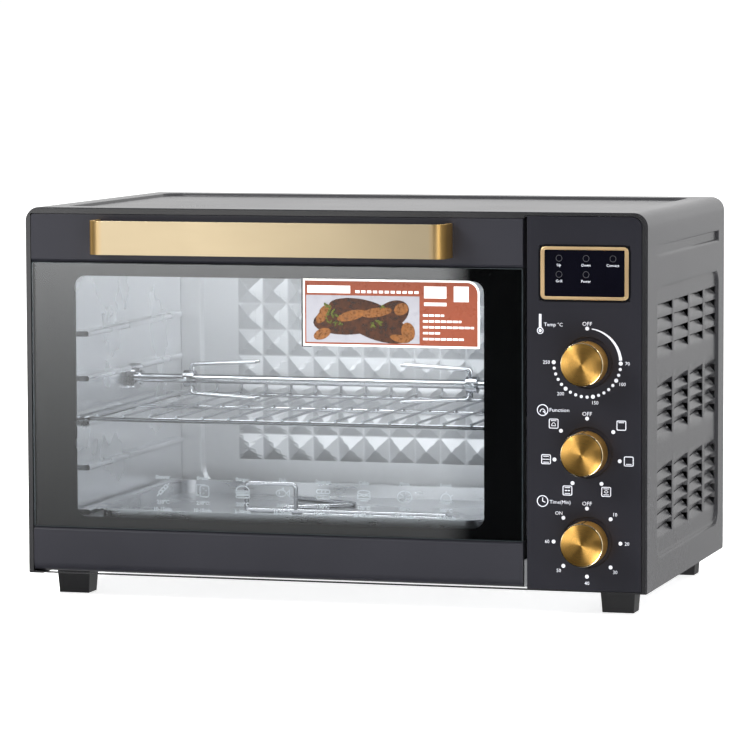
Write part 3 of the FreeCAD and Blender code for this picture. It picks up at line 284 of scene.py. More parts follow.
def make_materials():
    gold = (0.88, 0.50, 0.13)
    return {
        "cover": surface("cover_paint", (0.032, 0.032, 0.035), roughness=0.25, wander=0.03, shade=0.12,
                         grain=1500.0, bump=0.12, depth=0.02, stretch=(1, 1, 0.12), cloud=5.0,
                         specular=0.25),
        "rim": surface("rim_gloss_black", (0.012, 0.012, 0.013), roughness=0.22, wander=0.03,
                       grain=1800.0, bump=0.06, depth=0.02),
        "trim": surface("trim_satin_black", (0.017, 0.017, 0.022), roughness=0.36, wander=0.03,
                        grain=2200.0, bump=0.12, depth=0.02, cloud=7.0, specular=0.27),
        "panel": surface("panel_satin_black", (0.009, 0.009, 0.013), roughness=0.38, wander=0.03,
                         grain=2400.0, bump=0.12, depth=0.02, cloud=7.0, specular=0.25),
        # black print on the glass, also used as painted shade in the gap round the display bezel
        "black_print_and_gap_shade": surface("glass_print_and_gap_shade_black", (0.0035, 0.0035, 0.004), roughness=0.4, grain=300.0,
                               bump=0.02, depth=0.005, specular=0.04),
        # painted reflection: the pale base colour stands for the flat face washed by a white reflection,
        # and the deeper gold at the ends for the bends
        "handle": paint_sheen_fade_at_ends(
            surface("handle_brushed_gold_painted_sheen", (0.70, 0.57, 0.37), metallic=1.0, roughness=0.36, wander=0.05,
                    shade=0.06, grain=1400.0, bump=0.22, depth=0.04, stretch=(0.03, 1, 1), cloud=8.0),
            (0.80, 0.50, 0.17), 0.045),
        "bezel": surface("bezel_gold", (0.92, 0.66, 0.36), metallic=1.0, roughness=0.36, wander=0.04,
                         shade=0.06, grain=1800.0, bump=0.10, depth=0.02),
        "knob_face": spun_metal("knob_spun_face", gold, 0.30),
        "knob_side": surface("knob_turned_side", gold, metallic=1.0, roughness=0.42, wander=0.04,
                             shade=0.08, grain=1600.0, bump=0.04, depth=0.01, stretch=(1, 0.06, 1)),
        "knob_edge": surface("knob_cut_edge", (0.95, 0.80, 0.52), metallic=1.0, roughness=0.12,
                             wander=0.03, shade=0.05, grain=1600.0, bump=0.04, depth=0.01),
        "glass": clear_glass("door_glass_clear", (0.93, 0.95, 0.96)),
        "glass_edge": surface("glass_polished_edge", (0.03, 0.04, 0.045), roughness=0.2, grain=900.0,
                              bump=0.05, depth=0.02, cloud=30.0),
        # painted highlight: a light copy of the dark edge material, used on the pane's left edge only
        "glass_edge_painted_highlight": surface("glass_left_edge_painted_highlight", (0.50, 0.60, 0.66), roughness=0.3, grain=900.0,
                                  bump=0.05, depth=0.02, cloud=30.0),
        "lens": clear_glass("lamp_lens_glass", (0.9, 0.9, 0.88), haze=0.12),
        "display": surface("display_gloss", (0.002, 0.002, 0.004), roughness=0.1, wander=0.02,
                           grain=800.0, bump=0.02, depth=0.01, specular=0.12),
        "wall": aluminised("cavity_sheet", (0.80, 0.81, 0.83), 0.24),
        "back_wall": aluminised("cavity_back_sheet", (0.78, 0.79, 0.81), 0.55),
        "tray": surface("tray_satin_steel", (0.62, 0.63, 0.65), metallic=1.0, roughness=0.30, wander=0.08,
                        shade=0.1, grain=700.0, bump=0.15, depth=0.03, stretch=(0.05, 1, 1), cloud=16.0),
        "chrome": surface("wire_chrome", (0.46, 0.47, 0.49), metallic=1.0, roughness=0.2, wander=0.05,
                          shade=0.06, grain=1200.0, bump=0.05, depth=0.01, cloud=30.0),
        "zinc": aluminised("zinc_sheet", (0.60, 0.61, 0.63), 0.36),
        "black_steel": surface("frame_black_coat", (0.02, 0.02, 0.02), roughness=0.5, grain=900.0,
                               bump=0.2, depth=0.04),
        # painted shade: near-black sheet standing for the dark inside behind the louvres
        "louvre_shade": surface("louvre_shade_matt_black", (0.004, 0.004, 0.004), roughness=0.7, grain=600.0, bump=0.2,
                         depth=0.05, specular=0.05),
        "foot": surface("foot_moulded_black", (0.015, 0.015, 0.016), roughness=0.46, wander=0.06,
                        grain=1300.0, bump=0.3, depth=0.05, cloud=20.0, specular=0.2),
        "steel": surface("plated_steel", (0.62, 0.62, 0.64), metallic=1.0, roughness=0.28, grain=900.0,
                         bump=0.1, depth=0.02),
        "sheath": surface("heater_sheath", (0.30, 0.29, 0.28), metallic=1.0, roughness=0.45, shade=0.25,
                          grain=500.0, bump=0.2, depth=0.04, cloud=40.0),
        "ceramic": surface("white_ceramic", (0.80, 0.77, 0.70), roughness=0.5, shade=0.08, grain=600.0,
                           bump=0.15, depth=0.05, cloud=50.0),
        "bulb": surface("frosted_bulb", (0.92, 0.90, 0.84), roughness=0.35, shade=0.04, grain=700.0,
                        bump=0.05, depth=0.02),
        "motor": surface("motor_stampings", (0.42, 0.42, 0.43), metallic=1.0, roughness=0.42, shade=0.2,
                         grain=400.0, bump=0.3, depth=0.08, stretch=(1, 1, 0.1)),
        "switch": surface("switch_moulding", (0.62, 0.60, 0.54), roughness=0.5, grain=700.0, bump=0.15,
                          depth=0.04),
        "board": surface("circuit_board_green", (0.03, 0.17, 0.08), roughness=0.35, shade=0.3,
                         grain=300.0, bump=0.3, depth=0.05, cloud=120.0),
        "white_ink": ink("print_white", (0.56, 0.58, 0.64)),
        "guide_ink": ink("guide_white", (0.90, 0.92, 0.95)),
        "grey_ink": ink("print_grey", (0.035, 0.035, 0.04)),
        "sticker": ink("sticker_terracotta", (0.215, 0.048, 0.020), 0.3),
        "sticker_white": ink("sticker_white", (0.90, 0.90, 0.89), 0.3),
        "sticker_black": ink("sticker_black", (0.01, 0.01, 0.01), 0.3),
        "dish": ink("sticker_dish", (0.30, 0.30, 0.33), 0.3),
        "crust": printed_food("sticker_crust", (0.040, 0.0125, 0.004), 0.7, 330.0),
        "golden": printed_food("sticker_golden", (0.17, 0.062, 0.012), 0.45, 300.0),
        "leaf": printed_food("sticker_leaf", (0.065, 0.078, 0.008), 0.6, 300.0),
    }


MATERIALS = make_materials()


# ---- mesh helpers ----------------------------------------------------------------------------
def smooth_by_angle(mesh, degrees=35.0):
    """Smooth faces everywhere, with edges kept sharp where the surface turns by more than the angle."""
    work = bmesh.new()
    work.from_mesh(mesh)
    limit = math.radians(degrees)
    for face in work.faces:
        face.smooth = True
    for edge in work.edges:
        edge.smooth = len(edge.link_faces) == 2 and edge.calc_face_angle(0.0) < limit
    work.to_mesh(mesh)
    work.free()


def piece(name, work, body, materials, nodes=(), bevel=0.0, segments=2, thickness=0.0, angle=35.0):
    """Turns a bmesh in millimetres into a finished object that rides on a CAD body."""
    for vertex in work.verts:
        vertex.co = place(*vertex.co)
    mesh = bpy.data.meshes.new(name)
    work.to_mesh(mesh)
    work.free()
    smooth_by_angle(mesh, angle)
    for key in materials:
        mesh.materials.append(MATERIALS[key])
    made = bpy.data.objects.new(name, mesh)
    bpy.context.scene.collection.objects.link(made)
    if thickness:
        solid = made.modifiers.new("sheet", "SOLIDIFY")
        solid.thickness = thickness * MM
        solid.offset = -1.0
    if bevel:
        edge = made.modifiers.new("edges", "BEVEL")
        edge.width = bevel * MM
        edge.segments = segments
        edge.limit_method = "ANGLE"
        edge.angle_limit = math.radians(30)
        edge.harden_normals = True
    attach(made, body)
    if nodes:
        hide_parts(*nodes)
    return made


def refined(node, body, materials, bevel, segments=2, name=None):
    """A CAD node's own shape with its flat faces cleaned up and its edges softened."""
    work = bmesh.new()
    work.from_mesh(frame["nodes"][node].data)
    for face in work.faces:
        face.material_index = 0
    bmesh.ops.remove_doubles(work, verts=work.verts, dist=1e-6)
    bmesh.ops.dissolve_limit(work, angle_limit=math.radians(0.6), verts=work.verts, edges=work.edges)
    bmesh.ops.recalc_face_normals(work, faces=work.faces)
    for vertex in work.verts:
        x, y, z = vertex.co / MM
        vertex.co = (x, y - FRONT, z)
    return piece(name or node + "_body", work, body, materials, [node], bevel, segments)


def add_box(work, x0, x1, y0, y1, z0, z1, index=0):
    corners = [work.verts.new((x, y, z)) for x in (x0, x1) for y in (y0, y1) for z in (z0, z1)]
    for quad in ((0, 1, 3, 2), (4, 6, 7, 5), (0, 4, 5, 1), (2, 3, 7, 6), (0, 2, 6, 4), (1, 5, 7, 3)):
        work.faces.new([corners[i] for i in quad]).material_index = index


def add_lathe(work, profile, centre, sides=64, indices=None):
    """Turns (radius, y) points about a line along Y through centre (x, z)."""
    rings = []
    for radius, y in profile:
        if radius < 1e-6:
            rings.append([work.verts.new((centre[0], y, centre[1]))])
            continue
        ring = []
        for k in range(sides):
            turn = 2 * math.pi * k / sides
            ring.append(work.verts.new((centre[0] + radius * math.sin(turn), y,
                                        centre[1] + radius * math.cos(turn))))
        rings.append(ring)
    for row, (first, second) in enumerate(zip(rings, rings[1:])):
        index = indices[row] if indices else 0
        for k in range(sides):
            j = (k + 1) % sides
            if len(first) == 1:
                corners = [first[0], second[k], second[j]]
            elif len(second) == 1:
                corners = [first[k], second[0], first[j]]
            else:
                corners = [first[k], second[k], second[j], first[j]]
            work.faces.new(corners).material_index = index


def rounded_outline(x0, x1, z0, z1, radius, steps=8):
    """Corner-rounded rectangle in the XZ plane, anticlockwise seen from the front."""
    outline = []
    for cx, cz, start in ((x1 - radius, z0 + radius, -90), (x1 - radius, z1 - radius, 0),
                          (x0 + radius, z1 - radius, 90), (x0 + radius, z0 + radius, 180)):
        for i in range(steps + 1):
            turn = math.radians(start + 90 * i / steps)
            outline.append((cx + radius * math.cos(turn), cz + radius * math.sin(turn)))
    return outline


def add_ring(work, outer, inner, y0, y1, index=0):
    """A flat band between two outlines with the same number of points, y0 in front and y1 behind."""
    layers = []
    for outline in (outer, inner):
        for y in (y0, y1):
            layers.append([work.verts.new((x, y, z)) for x, z in outline])
    outer_front, outer_back, inner_front, inner_back = layers
    count = len(outer)
    for i in range(count):
        j = (i + 1) % count
        for quad in ((outer_front[i], outer_front[j], inner_front[j], inner_front[i]),
                     (outer_back[j], outer_back[i], inner_back[i], inner_back[j]),
                     (outer_front[j], outer_front[i], outer_back[i], outer_back[j]),
                     (inner_front[i], inner_front[j], inner_back[j], inner_back[i])):
            work.faces.new(quad).material_index = index


def add_plate(work, outline, y0, y1, index=0):
    """An outline in the XZ plane given thickness along Y."""
    front = [work.verts.new((x, y0, z)) for x, z in outline]
    back = [work.verts.new((x, y1, z)) for x, z in outline]
    work.faces.new(front).material_index = index
    work.faces.new(back[::-1]).material_index = index
    count = len(outline)
    for i in range(count):
        j = (i + 1) % count
        work.faces.new([front[j], front[i], back[i], back[j]]).material_index = index


def add_disc(work, x, z, radius, y0, y1, index=0, height=None, turn=0.0, sides=20):
    """A round or oval plate; height is its half size upwards when it is not round."""
    height = radius if height is None else height
    outline = []
    for k in range(sides):
        angle = 2 * math.pi * k / sides
        across = radius * math.cos(angle)
        upward = height * math.sin(angle)
        outline.append((x + across * math.cos(turn) - upward * math.sin(turn),
                        z + across * math.sin(turn) + upward * math.cos(turn)))
    add_plate(work, outline, y0, y1, index)


def side_line(points, distance, closed):
    """The points moved sideways by the distance, with mitred corners."""
    count = len(points)
    moved = []
    for i in range(count):
        here = Vector(points[i])
        ends = []
        if closed or i > 0:
            ends.append((Vector(points[i - 1]), here))
        if closed or i < count - 1:
            ends.append((here, Vector(points[(i + 1) % count])))
        normals = []
        for start, end in ends:
            step = (end - start).normalized()
            normals.append(Vector((-step.y, step.x)))
        total = sum(normals, Vector((0.0, 0.0)))
        moved.append(here + total * (distance / max(0.4, total.dot(normals[0]))))
    return moved


def add_stroke(work, points, width, y0, y1, closed=False, index=0):
    """A printed line of the given width through (x, z) points."""
    left = side_line(points, width / 2, closed)
    right = side_line(points, -width / 2, closed)
    if closed:
        add_ring(work, right, left, y0, y1, index)
    else:
        add_plate(work, right + left[::-1], y0, y1, index)


CAP_SHARE = 0.70


def add_text(work, words, x, z, height, y0, y1, width=None, weight=0.0):
    """Letters in the built-in font, centred on (x, z); height is a capital's, weight thickens the lines."""
    curve = bpy.data.curves.new("words", "FONT")
    curve.body = words
    curve.size = height / CAP_SHARE
    curve.resolution_u = 2
    curve.extrude = (y1 - y0) / 2
    curve.offset = weight
    holder = bpy.data.objects.new("words", curve)
    mesh = bpy.data.meshes.new_from_object(holder)
    across = [vertex.co.x for vertex in mesh.vertices]
    low, high = min(across), max(across)
    stretch = width / (high - low) if width else 1.0
    made = [work.verts.new((x + (vertex.co.x - (low + high) / 2) * stretch, (y0 + y1) / 2 - vertex.co.z,
                            z + vertex.co.y - height / 2)) for vertex in mesh.vertices]
    for polygon in mesh.polygons:
        corners = [made[i] for i in polygon.vertices]
        if len(set(corners)) > 2 and work.faces.get(corners) is None:
            work.faces.new(corners)
    bpy.data.objects.remove(holder)
    bpy.data.meshes.remove(mesh)
    bpy.data.curves.remove(curve)


def ramp(value, start, end):
    """0 before start, 1 after end, smooth between."""
    t = min(1.0, max(0.0, (value - start) / (end - start)))
    return t * t * (3 - 2 * t)


def inside(a, b, a0, a1, b0, b1, corner, step):
    """1 inside a round-cornered rectangle, 0 outside, smooth over step."""
    qa = abs(a - (a0 + a1) / 2) - (a1 - a0) / 2 + corner
    qb = abs(b - (b0 + b1) / 2) - (b1 - b0) / 2 + corner
    distance = math.hypot(max(qa, 0), max(qb, 0)) + min(max(qa, qb), 0) - corner
    return 1 - ramp(distance, -step, 0)


def lines(start, stop, coarse, dense=(), exact=()):
    """Grid lines from start to stop: a coarse spacing, finer stretches, and lines that must be hit."""
    found = {round(v, 4) for v in (start, stop, *exact)}
    extra = []
    count = max(1, round((stop - start) / coarse))
    extra += [start + (stop - start) * i / count for i in range(count + 1)]
    for low, high, step in dense:
        count = max(1, round((high - low) / step))
        extra += [low + (high - low) * i / count for i in range(count + 1)]
    for value in extra:
        if start < value < stop and all(abs(value - other) > 0.3 for other in found):
            found.add(round(value, 4))
    return sorted(found)


# ---- outer cover -----------------------------------------------------------------------------
LOUVRE_TOPS = [260.9 - 12.05 * i for i in range(4)] + [190.7 - 12.05 * i for i in range(4)]
LOUVRE_TOPS += [118.4 - 12.05 * i for i in range(5)]
LOUVRE_COLUMNS = ((43.0, 106.0), (113.5, 173.0), (181.0, 237.5), (246.5, 294.5))
LOUVRE_HEIGHT = 7.4
LOUVRE_DEPTH = 5.0
SLIT = 1.4
CUT = 0.35
RECESS = (41.0, 298.5, 45.0, 275.5)
RECESS_DEPTH = 1.9
RECESS_CORNER = 15.7
GRIP = (41.5, 298.5, 301.0, 311.5)
GRIP_DEPTH = 2.4
TOP_RECESS_DEPTH = 2.4
# inset and thickness of the black sheets behind the louvres, which are painted shade
SHADE_SHEET_INSET = 12.5
SHADE_SHEET_THICKNESS = 0.6


def flap_depth(y, z):
    """How far a louvre's flap is pushed in: most at its upper back corner, nothing at its lower edge."""
    for top in LOUVRE_TOPS:
        if top - LOUVRE_HEIGHT - 1e-3 <= z <= top + 1e-3:
            for y0, y1 in LOUVRE_COLUMNS:
                if y0 - 1e-3 <= y <= y1 + 1e-3:
                    along = max(0.0, (y - y0) / (y1 - y0))
                    upward = min(1.0, max(0.0, (z - top + LOUVRE_HEIGHT) / (LOUVRE_HEIGHT - SLIT)))
                    return LOUVRE_DEPTH * (0.3 * ramp(along, 0, 0.12) + 0.7 * along) * upward ** 0.85
    return 0.0


def is_cut(y0, y1, z0, z1):
    """True for the thin cells over a louvre's slit and behind its open end."""
    for top in LOUVRE_TOPS:
        for start, end in LOUVRE_COLUMNS:
            over = top - SLIT - 1e-3 <= z0 and z1 <= top + 1e-3
            over = over and start - 1e-3 <= y0 and y1 <= end + CUT + 1e-3
            behind = abs(y0 - end) < 1e-3 and z0 >= top - LOUVRE_HEIGHT - 1e-3 and z1 <= top + 1e-3
            if over or behind:
                return True
    return False


def side_depth(y, z):
    """Depth of the pressings in the cover's side: a wedge-shaped recess, a finger grip, and the louvres."""
    y0, y1, z0, z1 = RECESS
    slope = 0.4 + (RECESS_DEPTH - 0.4) * (y - y0) / (y1 - y0)
    depth = slope * inside(y, z, y0, y1, z0, z1, RECESS_CORNER, 0.7)
    depth += 0.4 * inside(y, z, y0 + 2, y1 - 0.1, z0 + 3.2, z1 - 0.1, RECESS_CORNER - 2, 0.7)
    gy0, gy1, gz0, gz1 = GRIP
    slope = 0.5 + (GRIP_DEPTH - 0.5) * (y - gy0) / (gy1 - gy0)
    rise = ramp(z, gz0, gz0 + 1.8)
    depth += slope * rise * inside(y, z, gy0, gy1, gz0 - 3, gz1, 2.5, 0.7)
    return depth + flap_depth(y, z)


def make_cover():
    """The wrap-round sheet, pressed with louvres, a recess on each side and a shallow panel on top."""
    x0, x1, y0, y1, z0, z1 = span("outer_cover")
    radius = 11.0
    z_exact = [value for top in LOUVRE_TOPS for value in (top - LOUVRE_HEIGHT, top - LOUVRE_HEIGHT * 0.7,
                                                          top - LOUVRE_HEIGHT * 0.4, top - SLIT, top)]
    y_exact = [start + (end - start) * share for start,
               end in LOUVRE_COLUMNS for share in (0, 0.12, 0.3, 0.6, 1)]
    y_exact += [end + CUT for start, end in LOUVRE_COLUMNS]
    z_exact += [RECESS[2], RECESS[3], GRIP[2], GRIP[3]]
    y_exact += [RECESS[0], RECESS[1]]
    zs = lines(z0, z1 - radius, 6.0, ((44, 61, 0.7), (260, 277, 0.7), (299, 313, 0.6)), z_exact)
    ys = lines(y0, y1, 8.0, ((24, 34, 1.0), (39, 56, 1.2), (281, 301, 0.7)), y_exact)
    xs = lines(x0 + radius, x1 - radius, 16.0, ((x0 + radius, x0 + 44, 1.2), (x1 - 44, x1 - radius, 1.2)))
    lip = 12.0
    stations = [(x0 + lip, z0, 0, -1, "lip"), (x0 + 0.6, z0, 0, -1, "lip")]
    stations += [(x0, z, -1, 0, "side") for z in zs]
    for i in range(1, 8):
        turn = math.pi * (1 - i / 16)
        stations.append((x0 + radius + radius * math.cos(turn), z1 - radius + radius * math.sin(turn),
                         math.cos(turn), math.sin(turn), "corner"))
    stations += [(x, z1, 0, 1, "top") for x in xs]
    mirrored = [(-x, z, -nx, nz, zone) for x, z, nx, nz, zone in reversed(stations) if zone != "top"]
    stations += mirrored
    work = bmesh.new()
    rows = []
    for x, z, nx, nz, zone in stations:
        row = []
        for y in ys:
            depth = 0.0
            if zone == "side":
                depth = side_depth(y, z)
            if zone == "top":
                depth = TOP_RECESS_DEPTH * inside(x, y, x0 + 26, x1 - 26, 28.0, 301.0, 16.0, 1.6)
            row.append(work.verts.new((x - nx * depth, y, z - nz * depth)))
        rows.append(row)
    for i in range(len(stations) - 1):
        low, high = sorted((stations[i][1], stations[i + 1][1]))
        both_side = stations[i][4] == "side" and stations[i + 1][4] == "side"
        for j in range(len(ys) - 1):
            if both_side and is_cut(ys[j], ys[j + 1], low, high):
                continue
            work.faces.new([rows[i][j], rows[i][j + 1], rows[i + 1][j + 1], rows[i + 1][j]])
    bmesh.ops.delete(work, geom=[v for v in work.verts if not v.link_faces], context="VERTS")
    piece("cover_sheet", work, "casing", ["cover"], ["outer_cover"], thickness=0.8,
          angle=40.0)
    # painted shade: black sheets set behind the louvres inside the cover, where there is only shade
    work = bmesh.new()
    for side in (-1, 1):
        inner, outer = sorted((side * (x1 - SHADE_SHEET_INSET - SHADE_SHEET_THICKNESS), side * (x1 - SHADE_SHEET_INSET)))
        add_box(work, inner, outer, RECESS[0] - 2, RECESS[1] + 4, RECESS[2] - 2, RECESS[3] + 4)
    piece("louvre_shade_sheets", work, "casing", ["louvre_shade"], bevel=0.2)


# ---- cavity ----------------------------------------------------------------------------------
PYRAMID_PITCH = 24.45
PYRAMID_COLUMNS = 11
PYRAMID_ROWS = 7
PYRAMID_LEFT = -180.9
PYRAMID_BOTTOM = 91.4
PYRAMID_RISE = 5.6
GROOVE = 1.3


def pyramid_rise(x, z):
    """Height of the pressed pyramids at a point of the back wall."""
    across = x - PYRAMID_LEFT
    upward = z - PYRAMID_BOTTOM
    if not (0 < across < PYRAMID_PITCH * PYRAMID_COLUMNS and 0 < upward < PYRAMID_PITCH * PYRAMID_ROWS):
        return 0.0
    half = PYRAMID_PITCH / 2
    da = abs(across % PYRAMID_PITCH - half)
    du = abs(upward % PYRAMID_PITCH - half)
    return PYRAMID_RISE * max(0.0, (half - GROOVE / 2 - max(da, du)) / (half - GROOVE / 2))


def make_back_wall():
    """Back sheet: a flat border, a panel pushed back inside it, and a grid of pressed pyramids."""
    x0, x1, y0, y1, z0, z1 = span("cavity_back_wall")
    sheet = y1 - 0.8
    x0 += 0.8
    x1 -= 0.8
    cells_x = []
    for column in range(PYRAMID_COLUMNS + 1):
        edge = PYRAMID_LEFT + PYRAMID_PITCH * column
        cells_x += [edge - GROOVE / 2, edge + GROOVE / 2]
        if column < PYRAMID_COLUMNS:
            cells_x += [edge + PYRAMID_PITCH * share for share in (0.25, 0.5, 0.75)]
    cells_z = []
    for row in range(PYRAMID_ROWS + 1):
        edge = PYRAMID_BOTTOM + PYRAMID_PITCH * row
        cells_z += [edge - GROOVE / 2, edge + GROOVE / 2]
        if row < PYRAMID_ROWS:
            cells_z += [edge + PYRAMID_PITCH * share for share in (0.25, 0.5, 0.75)]
    xs = lines(x0, x1, 6.0, ((x0 + 14, x0 + 50, 1.5), (x1 - 50, x1 - 14, 1.5)), cells_x)
    zs = lines(z0, z1, 6.0, ((z0 + 14, z0 + 48, 1.5), (z1 - 40, z1 - 12, 1.5)), cells_z)
    work = bmesh.new()
    rows = []
    for z in zs:
        row = []
        for x in xs:
            y = sheet - pyramid_rise(x, z)
            y -= 3.0 * (1 - inside(x, z, x0 + 18, x1 - 18, z0 + 18, z1 - 14, 27.0, 4.0))
            row.append(work.verts.new((x, y, z)))
        rows.append(row)
    half = PYRAMID_PITCH / 2
    for i in range(len(zs) - 1):
        for j in range(len(xs) - 1):
            corners = [rows[i][j], rows[i][j + 1], rows[i + 1][j + 1], rows[i + 1][j]]
            across = ((xs[j] + xs[j + 1]) / 2 - PYRAMID_LEFT) % PYRAMID_PITCH - half
            upward = ((zs[i] + zs[i + 1]) / 2 - PYRAMID_BOTTOM) % PYRAMID_PITCH - half
            if across * upward > 0:
                work.faces.new([corners[0], corners[1], corners[2]])
                work.faces.new([corners[0], corners[2], corners[3]])
            else:
                work.faces.new([corners[0], corners[1], corners[3]])
                work.faces.new([corners[1], corners[2], corners[3]])
    piece("cavity_back_pressing", work, "casing", ["back_wall"], ["cavity_back_wall"],
          thickness=-0.7, angle=14.0)


def make_side_walls():
    """Side sheets of the cavity with pressed ribs for the rack and tray."""
    for node, name, inward in (("cavity_left_wall", "cavity_left_pressing", 1),
                               ("cavity_right_wall", "cavity_right_pressing", -1)):
        refined(node, "casing", ["wall"], 0.6, name=name)


# ---- door ------------------------------------------------------------------------------------
WINDOW = (-232.0, 134.6, 71.2, 280.8)
WINDOW_CORNER = 10.0
GLASS_INK = 0.05
PRINT_ROOM = 0.15
ICON_PITCH = 36.2
ICON_LEFT = -152.3
ICON_ROW = 96.5
ICON_LINE = 1.0
GUIDE_TEXT = 3.1
GUIDE_WEIGHT = 0.2
GUIDE_ROWS = (107.6, 85.9, 79.6)


def arch(x, z, half, rise, steps=12):
    """A half oval standing on its flat side."""
    return [(x + half * math.cos(math.pi * i / steps), z + rise * math.sin(math.pi * i / steps))
            for i in range(steps + 1)]


def oval(x, z, half, rise, steps=18):
    return [(x + half * math.cos(2 * math.pi * i / steps), z + rise * math.sin(2 * math.pi * i / steps))
            for i in range(steps)]


def bar(x0, z0, x1, z1):
    """An open stroke between two points."""
    return [(x0, z0), (x1, z1)], False


def skewer_icon():
    shapes = [bar(-5.5, -5.5, -3.6, -3.6), bar(4.2, 4.2, 5.6, 5.6)]
    for middle in (-2.2, 0.2, 2.6):
        shapes.append(([(middle + 1.9, middle), (middle, middle + 1.9), (middle - 1.9, middle),
                        (middle, middle - 1.9)], True))
    return shapes


def bread_icon():
    return [(rounded_outline(-2.4, 5.6, -5.2, 4.4, 2.0, 3), True),
            ([(-3.4, -3.8), (-5.4, -3.8), (-5.4, 5.2), (2.6, 5.2)], False),
            bar(0.0, 2.0, 1.2, 2.0), bar(2.4, 0.2, 3.6, 0.2), bar(0.2, -2.0, 1.6, -2.0)]


def burger_icon():
    return [(arch(0, 0.8, 6.0, 4.4), True), bar(-6.4, -0.6, 6.4, -0.6), bar(-6.4, -1.9, 6.4, -1.9),
            (rounded_outline(-6.0, 6.0, -5.0, -3.0, 0.9, 3), True)]


def fish_icon():
    return [(oval(-1.6, 0, 4.4, 2.8), True), ([(3.2, 0.0), (6.0, 2.6), (6.0, -2.6)], True),
            ([(-3.6, -1.4), (-3.0, 0.0), (-3.6, 1.4)], False),
            ([(-1.0, 3.4), (0.4, 4.6), (0.8, 2.9)], False)]


def sausage_icon():
    return [(rounded_outline(-6.0, 6.0, 0.9, 3.9, 1.4, 3), True),
            (rounded_outline(-6.0, 6.0, -3.9, -0.9, 1.4, 3), True), bar(-2.0, 1.6, -1.0, 3.2),
            bar(1.4, 1.6, 2.4, 3.2), bar(-0.4, -3.2, 0.6, -1.6)]


def cake_icon():
    return [(oval(0, 2.8, 5.4, 1.7), True), ([(-5.4, 1.4), (-5.4, -2.6), (5.4, -2.6), (5.4, 1.4)], False),
            ([(-5.0, -0.6), (-2.5, 0.2), (0, -0.6), (2.5, 0.2), (5.0, -0.6)], False),
            bar(-3.8, -4.4, 3.8, -4.4)]


def pizza_icon():
    shapes = [(oval(0, 0, 6.4, 5.0), True)]
    for spoke in range(3):
        turn = math.radians(20 + 60 * spoke)
        reach = (5.4 * math.cos(turn), 4.2 * math.sin(turn))
        shapes.append(([(-reach[0], -reach[1]), reach], False))
    return shapes


def roast_icon():
    return [(arch(0, -1.8, 4.6, 5.6), True), bar(-6.4, -3.4, 6.4, -3.4), bar(-3.2, -4.6, 3.2, -4.6),
            bar(4.4, 1.4, 6.2, 3.0), bar(0.4, 4.4, 0.4, 5.8)]


ICONS = ((skewer_icon, "Skewer", "210\u00b0C", "10-15min"),
         (bread_icon, "Bread", "210\u00b0C", "10-15min"),
         (burger_icon, "Burger", "210\u00b0C", "5-10min"),
         (fish_icon, "Fish", "210\u00b0C", "15-20min"),
         (sausage_icon, "Sausage", "190\u00b0C", "15-20min"),
         (cake_icon, "Cake", "170\u00b0C", "25-30min"),
         (pizza_icon, "Pizza", "210\u00b0C", "15-20min"),
         (roast_icon, "Roast", "200\u00b0C", "30-40min"))


def add_cooking_guide(work, back):
    """A row of small dishes with a temperature and a time under each, printed inside the pane."""
    front = back + GLASS_INK
    for i, (icon, *lines) in enumerate(ICONS):
        x = ICON_LEFT + ICON_PITCH * i
        for points, closed in icon():
            placed = [(x + u, ICON_ROW + w) for u, w in points]
            add_stroke(work, placed, ICON_LINE, back, front, closed)
        for words, z in zip(lines, GUIDE_ROWS):
            add_text(work, words, x, z, GUIDE_TEXT, back, front, weight=GUIDE_WEIGHT)


STICKER = (-23.6, 132.0, 224.2, 281.5)
STICKER_BORDER = 1.7
PICTURE = (-20.6, 79.4, 227.4, 267.6)


def sticker_outline(x0, x1, z0, z1, radius):
    """A rectangle whose upper right corner alone is rounded."""
    outline = [(x0, z0), (x1, z0)]
    for i in range(9):
        turn = math.pi / 2 * i / 8
        outline.append((x1 - radius + radius * math.cos(turn), z1 - radius + radius * math.sin(turn)))
    outline.append((x0, z1))
    return outline


